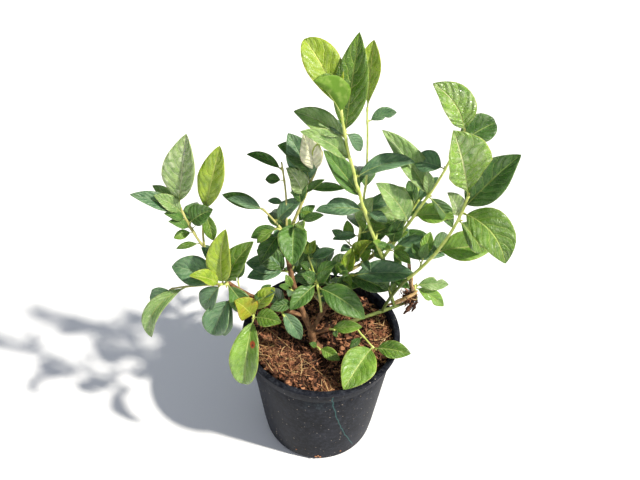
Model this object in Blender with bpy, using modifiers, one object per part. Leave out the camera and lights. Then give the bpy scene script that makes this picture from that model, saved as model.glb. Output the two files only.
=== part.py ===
"""Potted highbush blueberry: a thin nursery pot, its potting mix, woody limbs and leafy shoots.

Metres, +Z up. The origin is the centre of the pot's flat underside and -Y is the front.
Limbs, shoots and leaves are listed by where they grow, their heading, rise and length.
Heading 0 points along +X and 90 along +Y, and rise is the angle above level, in degrees.
"""
import math
from collections import namedtuple

import bmesh
import bpy
from mathutils import Vector, noise
from mathutils.bvhtree import BVHTree

MM = 0.001

# Clearance in mm between pieces that touch on the real plant, and how far a cutter is swollen for it.
GAP = 0.3
SEAT = 0.33

# Nursery pot, in mm.
POT_HEIGHT = 158
RIM_RADIUS = 85
WALL_TOP_RADIUS = 80.5
BASE_RADIUS = 65
CORNER_RADIUS = 6
WALL = 1.6
FLOOR = 2.0
LIP_HEIGHT = 3.0
LIP_ROUND = 1.4
BAND_HEIGHT = 17
BAND_STEP = 0.7
POT_STEPS = 48
SLOT_COUNT = 8
SLOT_WIDTH = 5
SLOT_LENGTH = 10
SLOT_DEPTH = 12
SLOT_SIDES = 12
SHARP_ANGLE = 35

# Potting mix, in mm. Its top slopes from the front left down to the back right.
SOIL_LEVEL = 150
SOIL_SLOPE = 0.04
SOIL_SLOPE_HEADING = 30
SOIL_ROUGHNESS = 1.6
SOIL_LUMP = 14
SOIL_RINGS = 7
SOIL_STEPS = 32
SOIL_WAIST = 80
SOIL_FALL = 7
FLAT_ROUND_TRUNK = 18

# Trunk foot and limbs, in mm. The flare adds that share of the radius at the ground.
TRUNK_FOOT = (-3.5, -21.4)
FLARE = 0.75
FLARE_HEIGHT = 5
FLARE_STEPS = 12
BURIED = 4
LIMB_STEP = 9
NEAR_LIMB = 4

# Leaves, in mm and degrees. Rows are shares of the blade's length, and a leaf longer than LONG_LEAF
# gets more of them. A lean of 1 puts the widest place at the middle and a larger one nearer the tip.
# FULLNESS sets how round a blade is.
LEAN = 0.9
FULLNESS = 0.85
LONG_LEAF_ROWS = (0.22, 0.52, 0.8)
SHORT_LEAF_ROWS = (0.33, 0.7)
LEAF_THICKNESS = 0.9
LONGEST_PER_THICKNESS = 90
LEAF_FOLD = 16
LEAF_DROOP = 26
LEAF_SHARE = 0.40
PETIOLE_LENGTH = 4
PETIOLE_WIDTH = 1.7
LONG_LEAF = 48

# A leaf that would come this near another mass or a limb is left out.
CLEARANCE = 1.6
ROOT_ZONE = 7
OVER_SOIL = 4

# Colours, linear red, green and blue.
CHARCOAL = (0.025, 0.027, 0.03)
PEAT = (0.14, 0.06, 0.03)
BARK = (0.22, 0.12, 0.06)
GREEN = (0.07, 0.19, 0.04)

Limb = namedtuple("Limb", "on share heading rise length sweep curl foot tip")
Leaf = namedtuple("Leaf", "at heading rise reach share droop lean",
                  defaults=(LEAF_SHARE, LEAF_DROOP, LEAN))

# Woody limbs: what each grows on and how far along it, its heading, rise and length, the turn of
# its heading and of its rise from foot to tip, and its radius at foot and tip.
WOOD = {
    "trunk": Limb(None, 0, 172, 65, 28, -8, 23, 3.7, 3.3),
    "right_bough": Limb("trunk", 0.85, 18, 8, 119, 6, -3, 2.6, 1.9),
    "old_snag": Limb("right_bough", 0.97, 167, 76, 62, 7, 5, 2.8, 1.6),
    "right_riser": Limb("right_bough", 0.78, 154, 68, 65, 3, 9, 2.3, 2.0),
    "far_riser": Limb("right_bough", 0.66, -50, 76, 69, 18, -13, 2.1, 1.9),
    "back_bough": Limb("trunk", 1, 47, 51, 85, 4, -19, 2.4, 1.8),
    "up_bough": Limb("trunk", 1, 165, 68, 109, -48, 6, 3.0, 2.1),
    "left_bough": Limb("up_bough", 0.2, -173, 26, 94, 7, 25, 2.3, 1.7),
    "left_riser": Limb("left_bough", 1, 157, 64, 36, -6, -12, 1.7, 1.5),
    "back_left_bough": Limb("back_bough", 0.35, 122, -13, 84, -10, 12, 1.9, 1.5),
    "back_right_bough": Limb("back_bough", 0.85, 30, 10, 60, 15, 5, 1.8, 1.5),
}

# The stem of each leafy mass, given the same way.
SHOOTS = {
    "top_shoot": Limb("right_riser", 1, -170, 69, 190, 42, 6, 2.0, 1.2),
    "right_shoot": Limb("right_riser", 1, 12, 63, 165, -57, 14, 1.9, 1.1),
    "far_shoot": Limb("far_riser", 1, -15, 58, 124, -41, 26, 1.9, 1.3),
    "back_shoot": Limb("back_bough", 1, 46, 79, 166, 84, 4, 1.7, 1.0),
    "centre_shoot": Limb("up_bough", 1, 33, 65, 91, -6, 3, 1.9, 1.2),
    "left_shoot": Limb("left_riser", 1, 172, 58, 54, -14, 18, 1.4, 1.0),
    "left_cluster": Limb("left_bough", 0.97, -127, 34, 14, 0, 0, 1.4, 1.1),
    "front_cluster": Limb("left_bough", 0.62, -91, -30, 20, 0, 0, 1.4, 1.1),
    "under_cluster": Limb("left_bough", 0.30, -60, -20, 10, 0, 0, 1.2, 1.0),
    "middle_shoot": Limb("back_bough", 0.25, 149, 88, 71, -18, -29, 1.5, 0.9),
    "middle_spur": Limb("back_bough", 0.80, -35, 30, 12, 0, 0, 1.4, 1.1),
    "inner_spur": Limb("up_bough", 0.70, 200, 25, 6, 0, 0, 1.4, 1.1),
    "lower_spur": Limb("up_bough", 0.38, 250, 30, 10, 0, 0, 1.3, 1.0),
    "riser_spur": Limb("right_riser", 0.75, 10, 20, 12, 0, 0, 1.3, 1.0),
    "riser_foot_spur": Limb("right_riser", 0.2, 260, 55, 12, 0, 0, 1.2, 0.9),
    "rim_spur": Limb("right_bough", 1, 120, 68, 17, 0, 0, 1.5, 1.1),
    "front_shoot": Limb("right_bough", 0.38, -64, -12, 37, 21, 0, 1.4, 1.0),
    "foot_sprout": Limb("trunk", 0.25, -60, 20, 12, 0, 0, 1.2, 0.9),
    "foot_spur": Limb("right_bough", 0.15, -40, 30, 10, 0, 0, 1.1, 0.9),
    "low_back_shoot": Limb("back_bough", 0.5, 95, 5, 40, 10, 5, 1.5, 1.0),
    "back_left_shoot": Limb("back_left_bough", 1, 100, 0, 42, 10, -5, 1.5, 1.0),
    "back_right_shoot": Limb("back_right_bough", 1, 60, 25, 55, 15, -10, 1.5, 1.0),
}

# Side twigs, which belong to the mass of the shoot that they grow on.
TWIGS = {
    "thin_twig": Limb("centre_shoot", 0.04, 80, 74, 76, 46, 0, 1.3, 0.9),
    "side_twig": Limb("centre_shoot", 0.06, 150, 50, 36, 20, -5, 1.4, 1.0),
    "left_inner_twig": Limb("left_shoot", 0.08, 100, 80, 47, -54, -12, 1.3, 0.9),
    "hanging_twig": Limb("left_cluster", 0.8, 190, 6, 46, 0, -12, 1.2, 0.9),
    "drop_twig": Limb("left_cluster", 0.1, 290, -60, 14, 0, 0, 1.1, 0.9),
    "behind_twig": Limb("right_shoot", 0.15, 40, 66, 50, -30, 0, 1.2, 0.9),
}

# Leaves of each stem: mm along it, heading, rise and reach of the leaf from base to tip, and for
# some their width as a share of the reach, their droop and their lean.
LEAVES = {
    "top_shoot": (
        Leaf(166, 53, 82, 80, 0.36, 0), Leaf(190, 166, 63, 60, 0.52, 30, 1.6),
        Leaf(186, 213, 55, 44, 0.44, 20),
        Leaf(160, 169, 24, 48, 0.42), Leaf(135, 203, 40, 58, 0.32), Leaf(160, 153, 36, 22, 0.5),
        Leaf(167, 15, -53, 25, 0.5),
        Leaf(113, 16, 9, 56, 0.30, 55), Leaf(87, 171, 53, 58, 0.36, 10), Leaf(71, 188, 4, 46),
        Leaf(68, 344, -15, 22, 0.5), Leaf(100, 89, -5, 44)),
    "back_shoot": (
        Leaf(163, 85, 82, 61, 0.34, 5, 1.5), Leaf(152, 14, 15, 28, 0.44), Leaf(41, 335, 77, 42, 0.45),
        Leaf(31, 200, 6, 29, 0.34, 40), Leaf(60, 13, 22, 37),
        Leaf(48, 5, 18, 42, 0.5), Leaf(14, 10, 42, 47, 0.42), Leaf(3, 338, 62, 34, 0.45),
        Leaf(84, 85, -10, 45), Leaf(38, 100, -15, 45), Leaf(18, 60, -5, 45)),
    "right_shoot": (
        Leaf(165, 170, 53, 51, 0.58, 50), Leaf(151, 24, 24, 37, 0.72), Leaf(123, 150, -5, 30, 0.8),
        Leaf(89, 159, 50, 75, 0.33, 15), Leaf(87, 213, 77, 32, 0.34), Leaf(88, 345, -47, 42, 0.36),
        Leaf(60, 345, 12, 38, 0.58, 35), Leaf(17, 349, 0, 53, 0.5, 25), Leaf(50, 193, 56, 62, 0.42),
        Leaf(19, 330, 78, 39, 0.4)),
    "behind_twig": (Leaf(48, 20, 55, 30, 0.4), Leaf(42, 100, 20, 30, 0.4)),
    "far_shoot": (
        Leaf(124, 190, 70, 67, 0.66, 10, 1.4), Leaf(98, 205, 62, 36, 0.42), Leaf(111, 3, 57, 63, 0.53, 5),
        Leaf(105, 315, -26, 55, 0.64, 90), Leaf(96, 348, -50, 42, 0.6),
        Leaf(50, 355, 14, 51, 0.58, 20), Leaf(40, 60, -6, 46)),
    "centre_shoot": (
        Leaf(76, 203, 76, 43, 0.55, 20), Leaf(85, 268, 73, 27), Leaf(73, 166, 38, 42, 0.55, 60),
        Leaf(65, 152, 63, 50, 0.58), Leaf(40, 120, 75, 36, 0.4), Leaf(50, 194, 65, 38, 0.5),
        Leaf(53, 341, 50, 28, 0.25),
        Leaf(58, 4, 2, 34, 0.28), Leaf(34, 332, 9, 18, 0.25), Leaf(23, 272, -23, 44, 0.64, 50),
        Leaf(45, 100, -20, 42), Leaf(12, 120, -10, 45)),
    "thin_twig": (
        Leaf(68, 165, 17, 36, 0.28, 40), Leaf(58, 170, -5, 18, 0.6), Leaf(35, 168, 2, 18)),
    "side_twig": (
        Leaf(34, 170, 16, 42, 0.34, 20), Leaf(34, 185, 24, 36, 0.3), Leaf(12, 188, -22, 30, 0.42),
        Leaf(18, 9, 46, 36, 0.45), Leaf(8, 230, -35, 38, 0.5)),
    "left_shoot": (
        Leaf(54, 22, 78, 68, 0.52, 0), Leaf(50, 161, 35, 31, 0.36), Leaf(43, 197, 54, 24, 0.5),
        Leaf(44, 191, 32, 48, 0.32), Leaf(36, 207, 39, 23), Leaf(27, 208, 40, 24),
        Leaf(33, 2, 36, 28, 0.75), Leaf(10, 192, -8, 23, 0.3), Leaf(30, 95, -5, 40)),
    "left_inner_twig": (Leaf(37, 5, 74, 69, 0.38, 0, 1.0), Leaf(38, 302, -66, 27, 0.5)),
    "left_cluster": (
        Leaf(9, 33, 83, 63, 0.40), Leaf(6, 5, 61, 59, 0.40), Leaf(14, 222, 46, 40, 0.36),
        Leaf(12, 193, -60, 38, 0.56), Leaf(4, 341, -60, 42, 0.5)),
    "drop_twig": (Leaf(14, 217, -60, 46, 0.6, 30), Leaf(13, 222, -76, 50, 0.4)),
    "hanging_twig": (
        Leaf(32, 206, -54, 70, 0.24, 95), Leaf(45, 186, -46, 32, 0.6), Leaf(5, 171, 19, 44, 0.66, 60)),
    "front_cluster": (
        Leaf(14, 9, 56, 37, 0.46), Leaf(19, 336, 15, 31, 0.6), Leaf(19, 203, 61, 32, 0.5, 20),
        Leaf(20, 256, -61, 70, 0.46, 45)),
    "under_cluster": (Leaf(2, 333, -55, 40, 0.42), Leaf(7, 110, -9, 45)),
    "middle_shoot": (
        Leaf(70, 141, 72, 20, 0.5), Leaf(71, 32, 66, 19, 0.5), Leaf(67, 10, 24, 27),
        Leaf(49, 11, 37, 27, 0.45), Leaf(38, 345, 62, 28, 0.4), Leaf(40, 195, 48, 23, 0.6),
        Leaf(40, 226, -17, 38, 0.5), Leaf(35, 329, -13, 56, 0.5, 50), Leaf(45, 90, -10, 42)),
    "middle_spur": (
        Leaf(11, 352, 12, 62, 0.40, 20), Leaf(2, 347, -14, 46, 0.46), Leaf(2, 85, 86, 30, 0.32)),
    "inner_spur": (Leaf(5, 174, 8, 40, 0.5), Leaf(4, 162, 30, 36, 0.6), Leaf(5, 193, -3, 38, 0.45)),
    "lower_spur": (Leaf(10, 200, 0, 26, 0.5),),
    "riser_spur": (Leaf(10, 70, 10, 36),),
    "riser_foot_spur": (Leaf(12, 278, 75, 25, 0.3), Leaf(9, 186, 84, 26, 0.3)),
    "rim_spur": (Leaf(16, 5, 0, 33, 0.42), Leaf(14, 348, -31, 36, 0.42)),
    "front_shoot": (
        Leaf(35, 237, -12, 55, 0.60, 30), Leaf(37, 346, 7, 38, 0.5), Leaf(20, 222, -20, 19, 0.45)),
    "foot_sprout": (Leaf(7, 328, -3, 27, 0.5), Leaf(9, 180, 40, 13, 0.5)),
    "foot_spur": (Leaf(3, 353, 17, 34, 0.42), Leaf(9, 280, 20, 14, 0.45)),
    "low_back_shoot": (
        Leaf(10, 20, 0, 42), Leaf(14, 160, -5, 44), Leaf(22, 286, 24, 36), Leaf(28, 60, -10, 45),
        Leaf(34, 130, -15, 45), Leaf(38, 90, -10, 42)),
    "back_left_shoot": (
        Leaf(8, 40, 0, 38), Leaf(14, 184, -5, 40), Leaf(22, 328, 5, 34), Leaf(28, 150, -10, 40),
        Leaf(32, 60, -5, 40), Leaf(36, 190, -5, 36), Leaf(41, 100, -5, 44)),
    "back_right_shoot": (
        Leaf(8, 340, 0, 45), Leaf(14, 124, -10, 46), Leaf(22, 268, 5, 42), Leaf(30, 52, -15, 48),
        Leaf(36, 196, 5, 40), Leaf(42, 340, -5, 42), Leaf(50, 110, -10, 42), Leaf(54, 50, 5, 42)),
}


def direction(heading, rise):
    """Unit vector of a heading and a rise given in degrees."""
    h, r = math.radians(heading), math.radians(rise)
    return Vector((math.cos(h) * math.cos(r), math.sin(h) * math.cos(r), math.sin(r)))


# Leaves turn their upper side to the light, which falls from the front.
LIGHT = direction(-95, 55)


def walk(start, limb):
    """Centre line of a limb: a point every few mm from its foot, with the radius there."""
    steps = max(3, round(limb.length / LIMB_STEP))
    line = [(Vector(start), limb.foot)]
    for i in range(steps):
        t = (i + 0.5) / steps
        step = direction(limb.heading + limb.sweep * t, limb.rise + limb.curl * t)
        radius = limb.foot + (limb.tip - limb.foot) * (i + 1) / steps
        line.append((line[-1][0] + step * limb.length / steps, radius))
    return line


def along(line, share):
    """Point at a share of the length of a centre line."""
    place = min(max(share, 0), 1) * (len(line) - 1)
    i = min(int(place), len(line) - 2)
    return line[i][0].lerp(line[i + 1][0], place - i)


def flared(line):
    """The trunk's line with its root flare, started a little below ground for the level cut."""
    foot, radius = line[0]
    flared_line = [(foot - (line[1][0] - foot).normalized() * BURIED, radius * (1 + FLARE))]
    for i in range(FLARE_STEPS):
        point = along(line, i / FLARE_STEPS)
        flare = FLARE * math.exp(-(point.z - foot.z) / FLARE_HEIGHT)
        flared_line.append((point, radius * (1 + flare)))
    flared_line.append(line[-1])
    return flared_line


def grow():
    """Centre lines of all limbs, shoots and twigs in mm, the trunk's with its flare."""
    lines = {}
    for name, limb in {**WOOD, **SHOOTS, **TWIGS}.items():
        foot = along(lines[limb.on], limb.share) if limb.on else Vector((*TRUNK_FOOT, SOIL_LEVEL))
        lines[name] = walk(foot, limb)
    lines["trunk"] = flared(lines["trunk"])
    return lines


def leaf_grid(line, stem, leaf, rows):
    """Open sheet of a leaf as rows of left edge, midrib and right edge points, in mm."""
    base = along(line, leaf.at / stem.length)
    axis = direction(leaf.heading, leaf.rise)
    lift = axis.cross(direction(leaf.heading + 90, 0))
    arch = leaf.reach * math.tan(math.radians(leaf.droop) / 4) / 2
    blade = PETIOLE_LENGTH / leaf.reach
    sheet = []
    for t in rows(blade):
        middle = base + axis * leaf.reach * t + lift * arch * 4 * t * (1 - t)
        run = axis * leaf.reach + lift * arch * 4 * (1 - 2 * t)
        side = LIGHT.cross(run).normalized()
        face = run.cross(side).normalized()
        half = PETIOLE_WIDTH / 2
        if t > blade:
            u = (t - blade) / (1 - blade)
            bulge = max(math.sin(math.pi * u ** leaf.lean), 0) ** FULLNESS
            half = max(half * (1 - t), leaf.reach * leaf.share / 2 * bulge)
        fold = math.radians(LEAF_FOLD)
        out, raised = side * half * math.cos(fold), face * half * math.sin(fold)
        sheet.append((middle + out + raised, middle, middle - out + raised))
    return sheet


def solid_rows(blade):
    """Shares of the reach at which a leaf's solid has its rows, more of them on a long leaf."""
    inner = LONG_LEAF_ROWS if blade < PETIOLE_LENGTH / LONG_LEAF else SHORT_LEAF_ROWS
    return (0, blade, *(blade + (1 - blade) * share for share in inner), 1)


def blade_rows(blade):
    """The same rows without the foot of the stalk, for the clearance test."""
    return solid_rows(blade)[1:]


def sheet_tree(sheet):
    """Points on a leaf's open sheet, those halfway between its rows last, and its search tree."""
    points = [p for row in sheet for p in row]
    halfway = [p.lerp(q, 0.5) for row, after in zip(sheet, sheet[1:]) for p, q in zip(row, after)]
    faces = []
    for i in range(len(sheet) - 1):
        for j in range(2):
            a = 3 * i + j
            faces.append((a, a + 1, a + 4, a + 3))
    return points + halfway, BVHTree.FromPolygons(points, faces)


def mass_of(name):
    """The shoot that a stem's leaves are fused with."""
    return TWIGS[name].on if name in TWIGS else name


def clears(sheet, name, lines, placed, base):
    """Whether a leaf stays clear of every limb and of the leaves of the other masses."""
    points, tree = sheet_tree(sheet)
    own = mass_of(name)
    for other, line in lines.items():
        if mass_of(other) == own:
            continue
        for i in range(3 * len(line) - 2):
            point, radius = along(line, i / (3 * len(line) - 3)), line[i // 3][1]
            if (point - base).length > ROOT_ZONE and tree.find_nearest(point, radius + CLEARANCE)[0]:
                return False
    for mass, other_points, other_tree in placed:
        if mass == own:
            continue
        if tree.overlap(other_tree) or any(other_tree.find_nearest(p, CLEARANCE)[0] for p in points):
            return False
        if any(tree.find_nearest(p, CLEARANCE)[0] for p in other_points):
            return False
    return all(p.z > SOIL_LEVEL + OVER_SOIL or p.xy.length > RIM_RADIUS + OVER_SOIL for p in points)


def place_leaves(lines):
    """Leaves that clear the other masses and the limbs, as (stem name, leaf)."""
    chosen, placed, skipped = [], [], []
    for name, stem in {**SHOOTS, **TWIGS}.items():
        for leaf in LEAVES[name]:
            base = along(lines[name], leaf.at / stem.length)
            sheet = leaf_grid(lines[name], stem, leaf, blade_rows)
            if clears(sheet, name, lines, placed, base):
                placed.append((mass_of(name), *sheet_tree(sheet)))
                chosen.append((name, leaf))
            else:
                skipped.append((name, leaf))
    print(len(chosen), "leaves placed,", len(skipped), "skipped:", skipped)
    return chosen


def principled(name, colour, roughness):
    """Plain material of one colour."""
    material = bpy.data.materials.new(name)
    material.use_nodes = True
    shader = material.node_tree.nodes["Principled BSDF"]
    shader.inputs["Base Color"].default_value = (*colour, 1)
    shader.inputs["Roughness"].default_value = roughness
    shader.inputs["Metallic"].default_value = 0
    return material


def add_object(name, mesh, collection):
    """New object of a mesh or curve, linked into the collection."""
    thing = bpy.data.objects.new(name, mesh)
    collection.objects.link(thing)
    return thing


def settled(thing, name, collection):
    """New mesh object in place of a curve or of a mesh with modifiers, its doubles merged."""
    graph = bpy.context.evaluated_depsgraph_get()
    mesh = bpy.data.meshes.new_from_object(thing.evaluated_get(graph))
    bm = bmesh.new()
    bm.from_mesh(mesh)
    bmesh.ops.transform(bm, matrix=thing.matrix_world, verts=bm.verts)
    bmesh.ops.remove_doubles(bm, verts=bm.verts, dist=0.002 * MM)
    bmesh.ops.recalc_face_normals(bm, faces=bm.faces)
    bm.to_mesh(mesh)
    bm.free()
    bpy.data.objects.remove(thing)
    return add_object(name, mesh, collection)


def tube(name, line, collection, detail, swell=0):
    """Round limb along a centre line in mm, closed at both ends, swollen and lengthened by swell."""
    curve = bpy.data.curves.new(name, "CURVE")
    curve.dimensions = "3D"
    curve.bevel_depth = MM
    curve.bevel_resolution = detail
    curve.use_fill_caps = True
    spline = curve.splines.new("POLY")
    points = [p for p, _ in line]
    points[0] = points[0] + (points[0] - points[1]).normalized() * swell
    points[-1] = points[-1] + (points[-1] - points[-2]).normalized() * swell
    spline.points.add(len(points) - 1)
    for knot, point, (_, radius) in zip(spline.points, points, line):
        knot.co = (*(point * MM), 1)
        knot.radius = radius + swell
    return settled(add_object(name + "_curve", curve, collection), name, collection)


def boolean(thing, operation, others, collection):
    """Joins or cuts a mesh object with a set of objects, which are then removed."""
    name = thing.name
    group = bpy.data.collections.new("operands")
    bpy.context.scene.collection.children.link(group)
    for other in others:
        for home in other.users_collection:
            home.objects.unlink(other)
        group.objects.link(other)
    cut = thing.modifiers.new("fuse", "BOOLEAN")
    cut.operation = operation
    cut.operand_type = "COLLECTION"
    cut.collection = group
    cut.solver = "EXACT"
    thing.name = name + "_old"
    result = settled(thing, name, collection)
    for other in list(group.objects):
        bpy.data.objects.remove(other)
    bpy.data.collections.remove(group)
    return result


def keep_largest(thing):
    """Drops the loose scraps of a mesh."""
    bm = bmesh.new()
    bm.from_mesh(thing.data)
    islands, left = [], set(bm.verts)
    while left:
        island, front = set(), [left.pop()]
        while front:
            vert = front.pop()
            island.add(vert)
            for edge in vert.link_edges:
                far = edge.other_vert(vert)
                if far in left:
                    left.remove(far)
                    front.append(far)
        islands.append(island)
    islands.sort(key=len)
    scraps = [v for island in islands[:-1] for v in island]
    bmesh.ops.delete(bm, geom=scraps, context="VERTS")
    bm.to_mesh(thing.data)
    bm.free()


def leaf_object(name, line, stem, leaf, collection):
    """Closed leaf: a grid set on the leaf's rows, its tip drawn to a point, then thickened."""
    rows = leaf_grid(line, stem, leaf, solid_rows)
    bm = bmesh.new()
    bmesh.ops.create_grid(bm, x_segments=2, y_segments=len(rows) - 1, size=0.5)
    bm.verts.ensure_lookup_table()
    for vert in bm.verts:
        row, column = round((vert.co.y + 0.5) * (len(rows) - 1)), round((vert.co.x + 0.5) * 2)
        vert.co = rows[row][2 - column] * MM
    bmesh.ops.remove_doubles(bm, verts=bm.verts, dist=0.02 * MM)
    bmesh.ops.recalc_face_normals(bm, faces=bm.faces)
    mesh = bpy.data.meshes.new(name)
    bm.to_mesh(mesh)
    bm.free()
    thing = add_object(name + "_sheet", mesh, collection)
    solid = thing.modifiers.new("thickness", "SOLIDIFY")
    solid.thickness = max(LEAF_THICKNESS, leaf.reach / LONGEST_PER_THICKNESS) * MM
    solid.offset = 0
    return settled(thing, name, collection)


def make_limbs(lines, collection, bark):
    """Trunk and boughs, each cut 0.3 mm clear of the limbs that it grows past."""
    for name, limb in WOOD.items():
        thing = tube(name, lines[name], collection, 2 if name == "trunk" else 1)
        thing = cut_clear(thing, name, [lines[name]], lines, collection)
        if name == "trunk":
            cut_level(thing)
        thing.data.materials.append(bark)


def cut_clear(thing, name, own, lines, collection):
    """Cuts a piece 0.3 mm clear of the limbs listed before it that its own centre lines come near."""
    order = list({**WOOD, **SHOOTS})
    before = order[:order.index(name)]
    near = [other for other in before if any(touches(lines[other], line) for line in own)]
    if near:
        swollen = [tube(other + "_clear", lines[other], collection, 2, SEAT) for other in near]
        thing = boolean(thing, "DIFFERENCE", swollen, collection)
        keep_largest(thing)
    return thing


def touches(line, other):
    """Whether two limbs come near each other."""
    return any((p - q).length < r + s + NEAR_LIMB for p, r in line for q, s in other)


def cut_level(thing):
    """Flat cut across the trunk's foot, a hair above the potting mix."""
    bm = bmesh.new()
    bm.from_mesh(thing.data)
    level = Vector((0, 0, SOIL_LEVEL + GAP)) * MM
    cut = bmesh.ops.bisect_plane(bm, geom=[*bm.verts, *bm.edges, *bm.faces], plane_co=level,
                                 plane_no=(0, 0, -1), clear_outer=True)
    rim = [e for e in cut["geom_cut"] if isinstance(e, bmesh.types.BMEdge)]
    bmesh.ops.contextual_create(bm, geom=rim)
    bmesh.ops.recalc_face_normals(bm, faces=bm.faces)
    bm.to_mesh(thing.data)
    bm.free()


def make_masses(lines, collection, green):
    """Leafy masses: stem, side twigs and leaves fused into one solid, clear of the limbs."""
    chosen = place_leaves(lines)
    for name in SHOOTS:
        stem = tube(name, lines[name], collection, 0)
        parts = [tube(twig, lines[twig], collection, 0) for twig in TWIGS if mass_of(twig) == name]
        for i, (owner, leaf) in enumerate(chosen):
            if mass_of(owner) == name:
                limb = SHOOTS.get(owner) or TWIGS[owner]
                parts.append(leaf_object(f"{owner}_leaf_{i}", lines[owner], limb, leaf, collection))
        if parts:
            stem = boolean(stem, "UNION", parts, collection)
        own = [line for other, line in lines.items() if mass_of(other) == name]
        stem = cut_clear(stem, name, own, lines, collection)
        stem.data.materials.append(green)


def arc(cx, cz, radius, start, end, steps):
    """Points along an arc in the pot's half section, angles in degrees."""
    points = []
    for i in range(steps + 1):
        a = math.radians(start + (end - start) * i / steps)
        points.append((cx + radius * math.cos(a), cz + radius * math.sin(a)))
    return points


def wall_radius(z):
    """Outer radius of the pot's plain wall at a height, in mm."""
    return BASE_RADIUS + (WALL_TOP_RADIUS - BASE_RADIUS) * z / POT_HEIGHT


def pot_section():
    """Half section of the pot, from the top's outer side down, across the floor and up inside."""
    lip_low = POT_HEIGHT - LIP_HEIGHT
    band_low = lip_low - BAND_HEIGHT
    section = arc(RIM_RADIUS - LIP_ROUND, POT_HEIGHT - LIP_ROUND, LIP_ROUND, 90, 0, 3)
    section += [(RIM_RADIUS, lip_low), (wall_radius(lip_low) + BAND_STEP, lip_low - 1)]
    section += [(wall_radius(band_low) + BAND_STEP, band_low), (wall_radius(band_low - 1), band_low - 1)]
    section += arc(BASE_RADIUS - CORNER_RADIUS, CORNER_RADIUS, CORNER_RADIUS, 0, -90, 4)
    section += [(0, 0), (0, FLOOR)]
    inner = CORNER_RADIUS - WALL
    section += arc(BASE_RADIUS - CORNER_RADIUS, FLOOR + inner, inner, -90, 0, 3)
    section += [(wall_radius(band_low) - WALL, band_low), (wall_radius(POT_HEIGHT) - WALL, POT_HEIGHT)]
    return section


def turned(name, section, steps, collection):
    """Solid of revolution from a half section in mm, by a Screw modifier."""
    bm = bmesh.new()
    verts = [bm.verts.new((x * MM, 0, z * MM)) for x, z in section]
    for a, b in zip(verts, verts[1:]):
        bm.edges.new((a, b))
    if section[0][0] > 0:
        bm.edges.new((verts[-1], verts[0]))
    mesh = bpy.data.meshes.new(name)
    bm.to_mesh(mesh)
    bm.free()
    thing = add_object(name + "_section", mesh, collection)
    screw = thing.modifiers.new("turn", "SCREW")
    screw.steps = steps
    screw.render_steps = steps
    screw.use_merge_vertices = True
    screw.merge_threshold = 0.01 * MM
    return settled(thing, name, collection)


def make_pot(collection, plastic):
    """Nursery pot with drainage slots through the rounded corner of its base."""
    pot = turned("pot", pot_section(), POT_STEPS, collection)
    cutters = []
    for i in range(SLOT_COUNT):
        bm = bmesh.new()
        bmesh.ops.create_cone(bm, cap_ends=True, segments=SLOT_SIDES, radius1=SLOT_WIDTH / 2 * MM,
                              radius2=SLOT_WIDTH / 2 * MM, depth=SLOT_DEPTH * MM)
        bmesh.ops.scale(bm, vec=(1, SLOT_LENGTH / SLOT_WIDTH, 1), verts=bm.verts)
        turn = Vector((0, 0, 1)).rotation_difference(direction(0, -45)).to_matrix()
        bmesh.ops.rotate(bm, matrix=turn, verts=bm.verts)
        inset = CORNER_RADIUS * (1 - math.cos(math.radians(45)))
        bmesh.ops.translate(bm, vec=Vector((BASE_RADIUS - inset, 0, inset)) * MM, verts=bm.verts)
        around = Vector((1, 0, 0)).rotation_difference(direction(360 * (i + 0.5) / SLOT_COUNT, 0))
        bmesh.ops.rotate(bm, matrix=around.to_matrix(), verts=bm.verts)
        mesh = bpy.data.meshes.new("slot")
        bm.to_mesh(mesh)
        bm.free()
        cutters.append(add_object(f"slot_{i}", mesh, collection))
    pot = boolean(pot, "DIFFERENCE", cutters, collection)
    pot.data.shade_smooth()
    pot.data.set_sharp_from_angle(angle=math.radians(SHARP_ANGLE))
    pot.data.materials.append(plastic)


def soil_height(x, y):
    """Height of the potting mix in mm: a slope with lumps, flat round the trunk."""
    foot = Vector(TRUNK_FOOT)
    away = Vector((x, y)) - foot
    fall = away.dot(direction(SOIL_SLOPE_HEADING, 0).xy) * SOIL_SLOPE
    lump = noise.noise(Vector((x, y, 0)) / SOIL_LUMP) * SOIL_ROUGHNESS * 2
    blend = min(max((away.length - FLAT_ROUND_TRUNK) / FLAT_ROUND_TRUNK, 0), 1)
    return SOIL_LEVEL + (lump - fall) * blend


def make_soil(collection, mix):
    """Potting mix that fills the pot, a hair clear of its wall and floor, with an uneven top."""
    inner = CORNER_RADIUS - WALL
    top = wall_radius(SOIL_LEVEL - SOIL_FALL) - WALL - GAP
    section = [(top * i / SOIL_RINGS, SOIL_LEVEL) for i in range(SOIL_RINGS + 1)]
    section.append((wall_radius(SOIL_WAIST) - WALL - GAP * 2, SOIL_WAIST))
    section += arc(BASE_RADIUS - CORNER_RADIUS, FLOOR + GAP + inner, inner - GAP, 0, -90, 3)
    section.append((0, FLOOR + GAP))
    soil = turned("potting_mix", section, SOIL_STEPS, collection)
    for vert in soil.data.vertices:
        x, y, z = vert.co / MM
        if z > SOIL_LEVEL - 1:
            vert.co.z = soil_height(x, y) * MM
    soil.data.materials.append(mix)


def main():
    """Builds every piece in one collection and prints its triangles."""
    for thing in list(bpy.data.objects):
        bpy.data.objects.remove(thing)
    collection = bpy.data.collections.new("potted_blueberry")
    bpy.context.scene.collection.children.link(collection)
    make_pot(collection, principled("charcoal plastic", CHARCOAL, 0.55))
    make_soil(collection, principled("potting mix", PEAT, 0.95))
    lines = grow()
    make_limbs(lines, collection, principled("bark", BARK, 0.8))
    make_masses(lines, collection, principled("leaf green", GREEN, 0.45))
    total = 0
    for thing in collection.objects:
        thing.data.calc_loop_triangles()
        total += len(thing.data.loop_triangles)
        print(thing.name, len(thing.data.loop_triangles))
    print("triangles in all:", total)


main()
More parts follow.
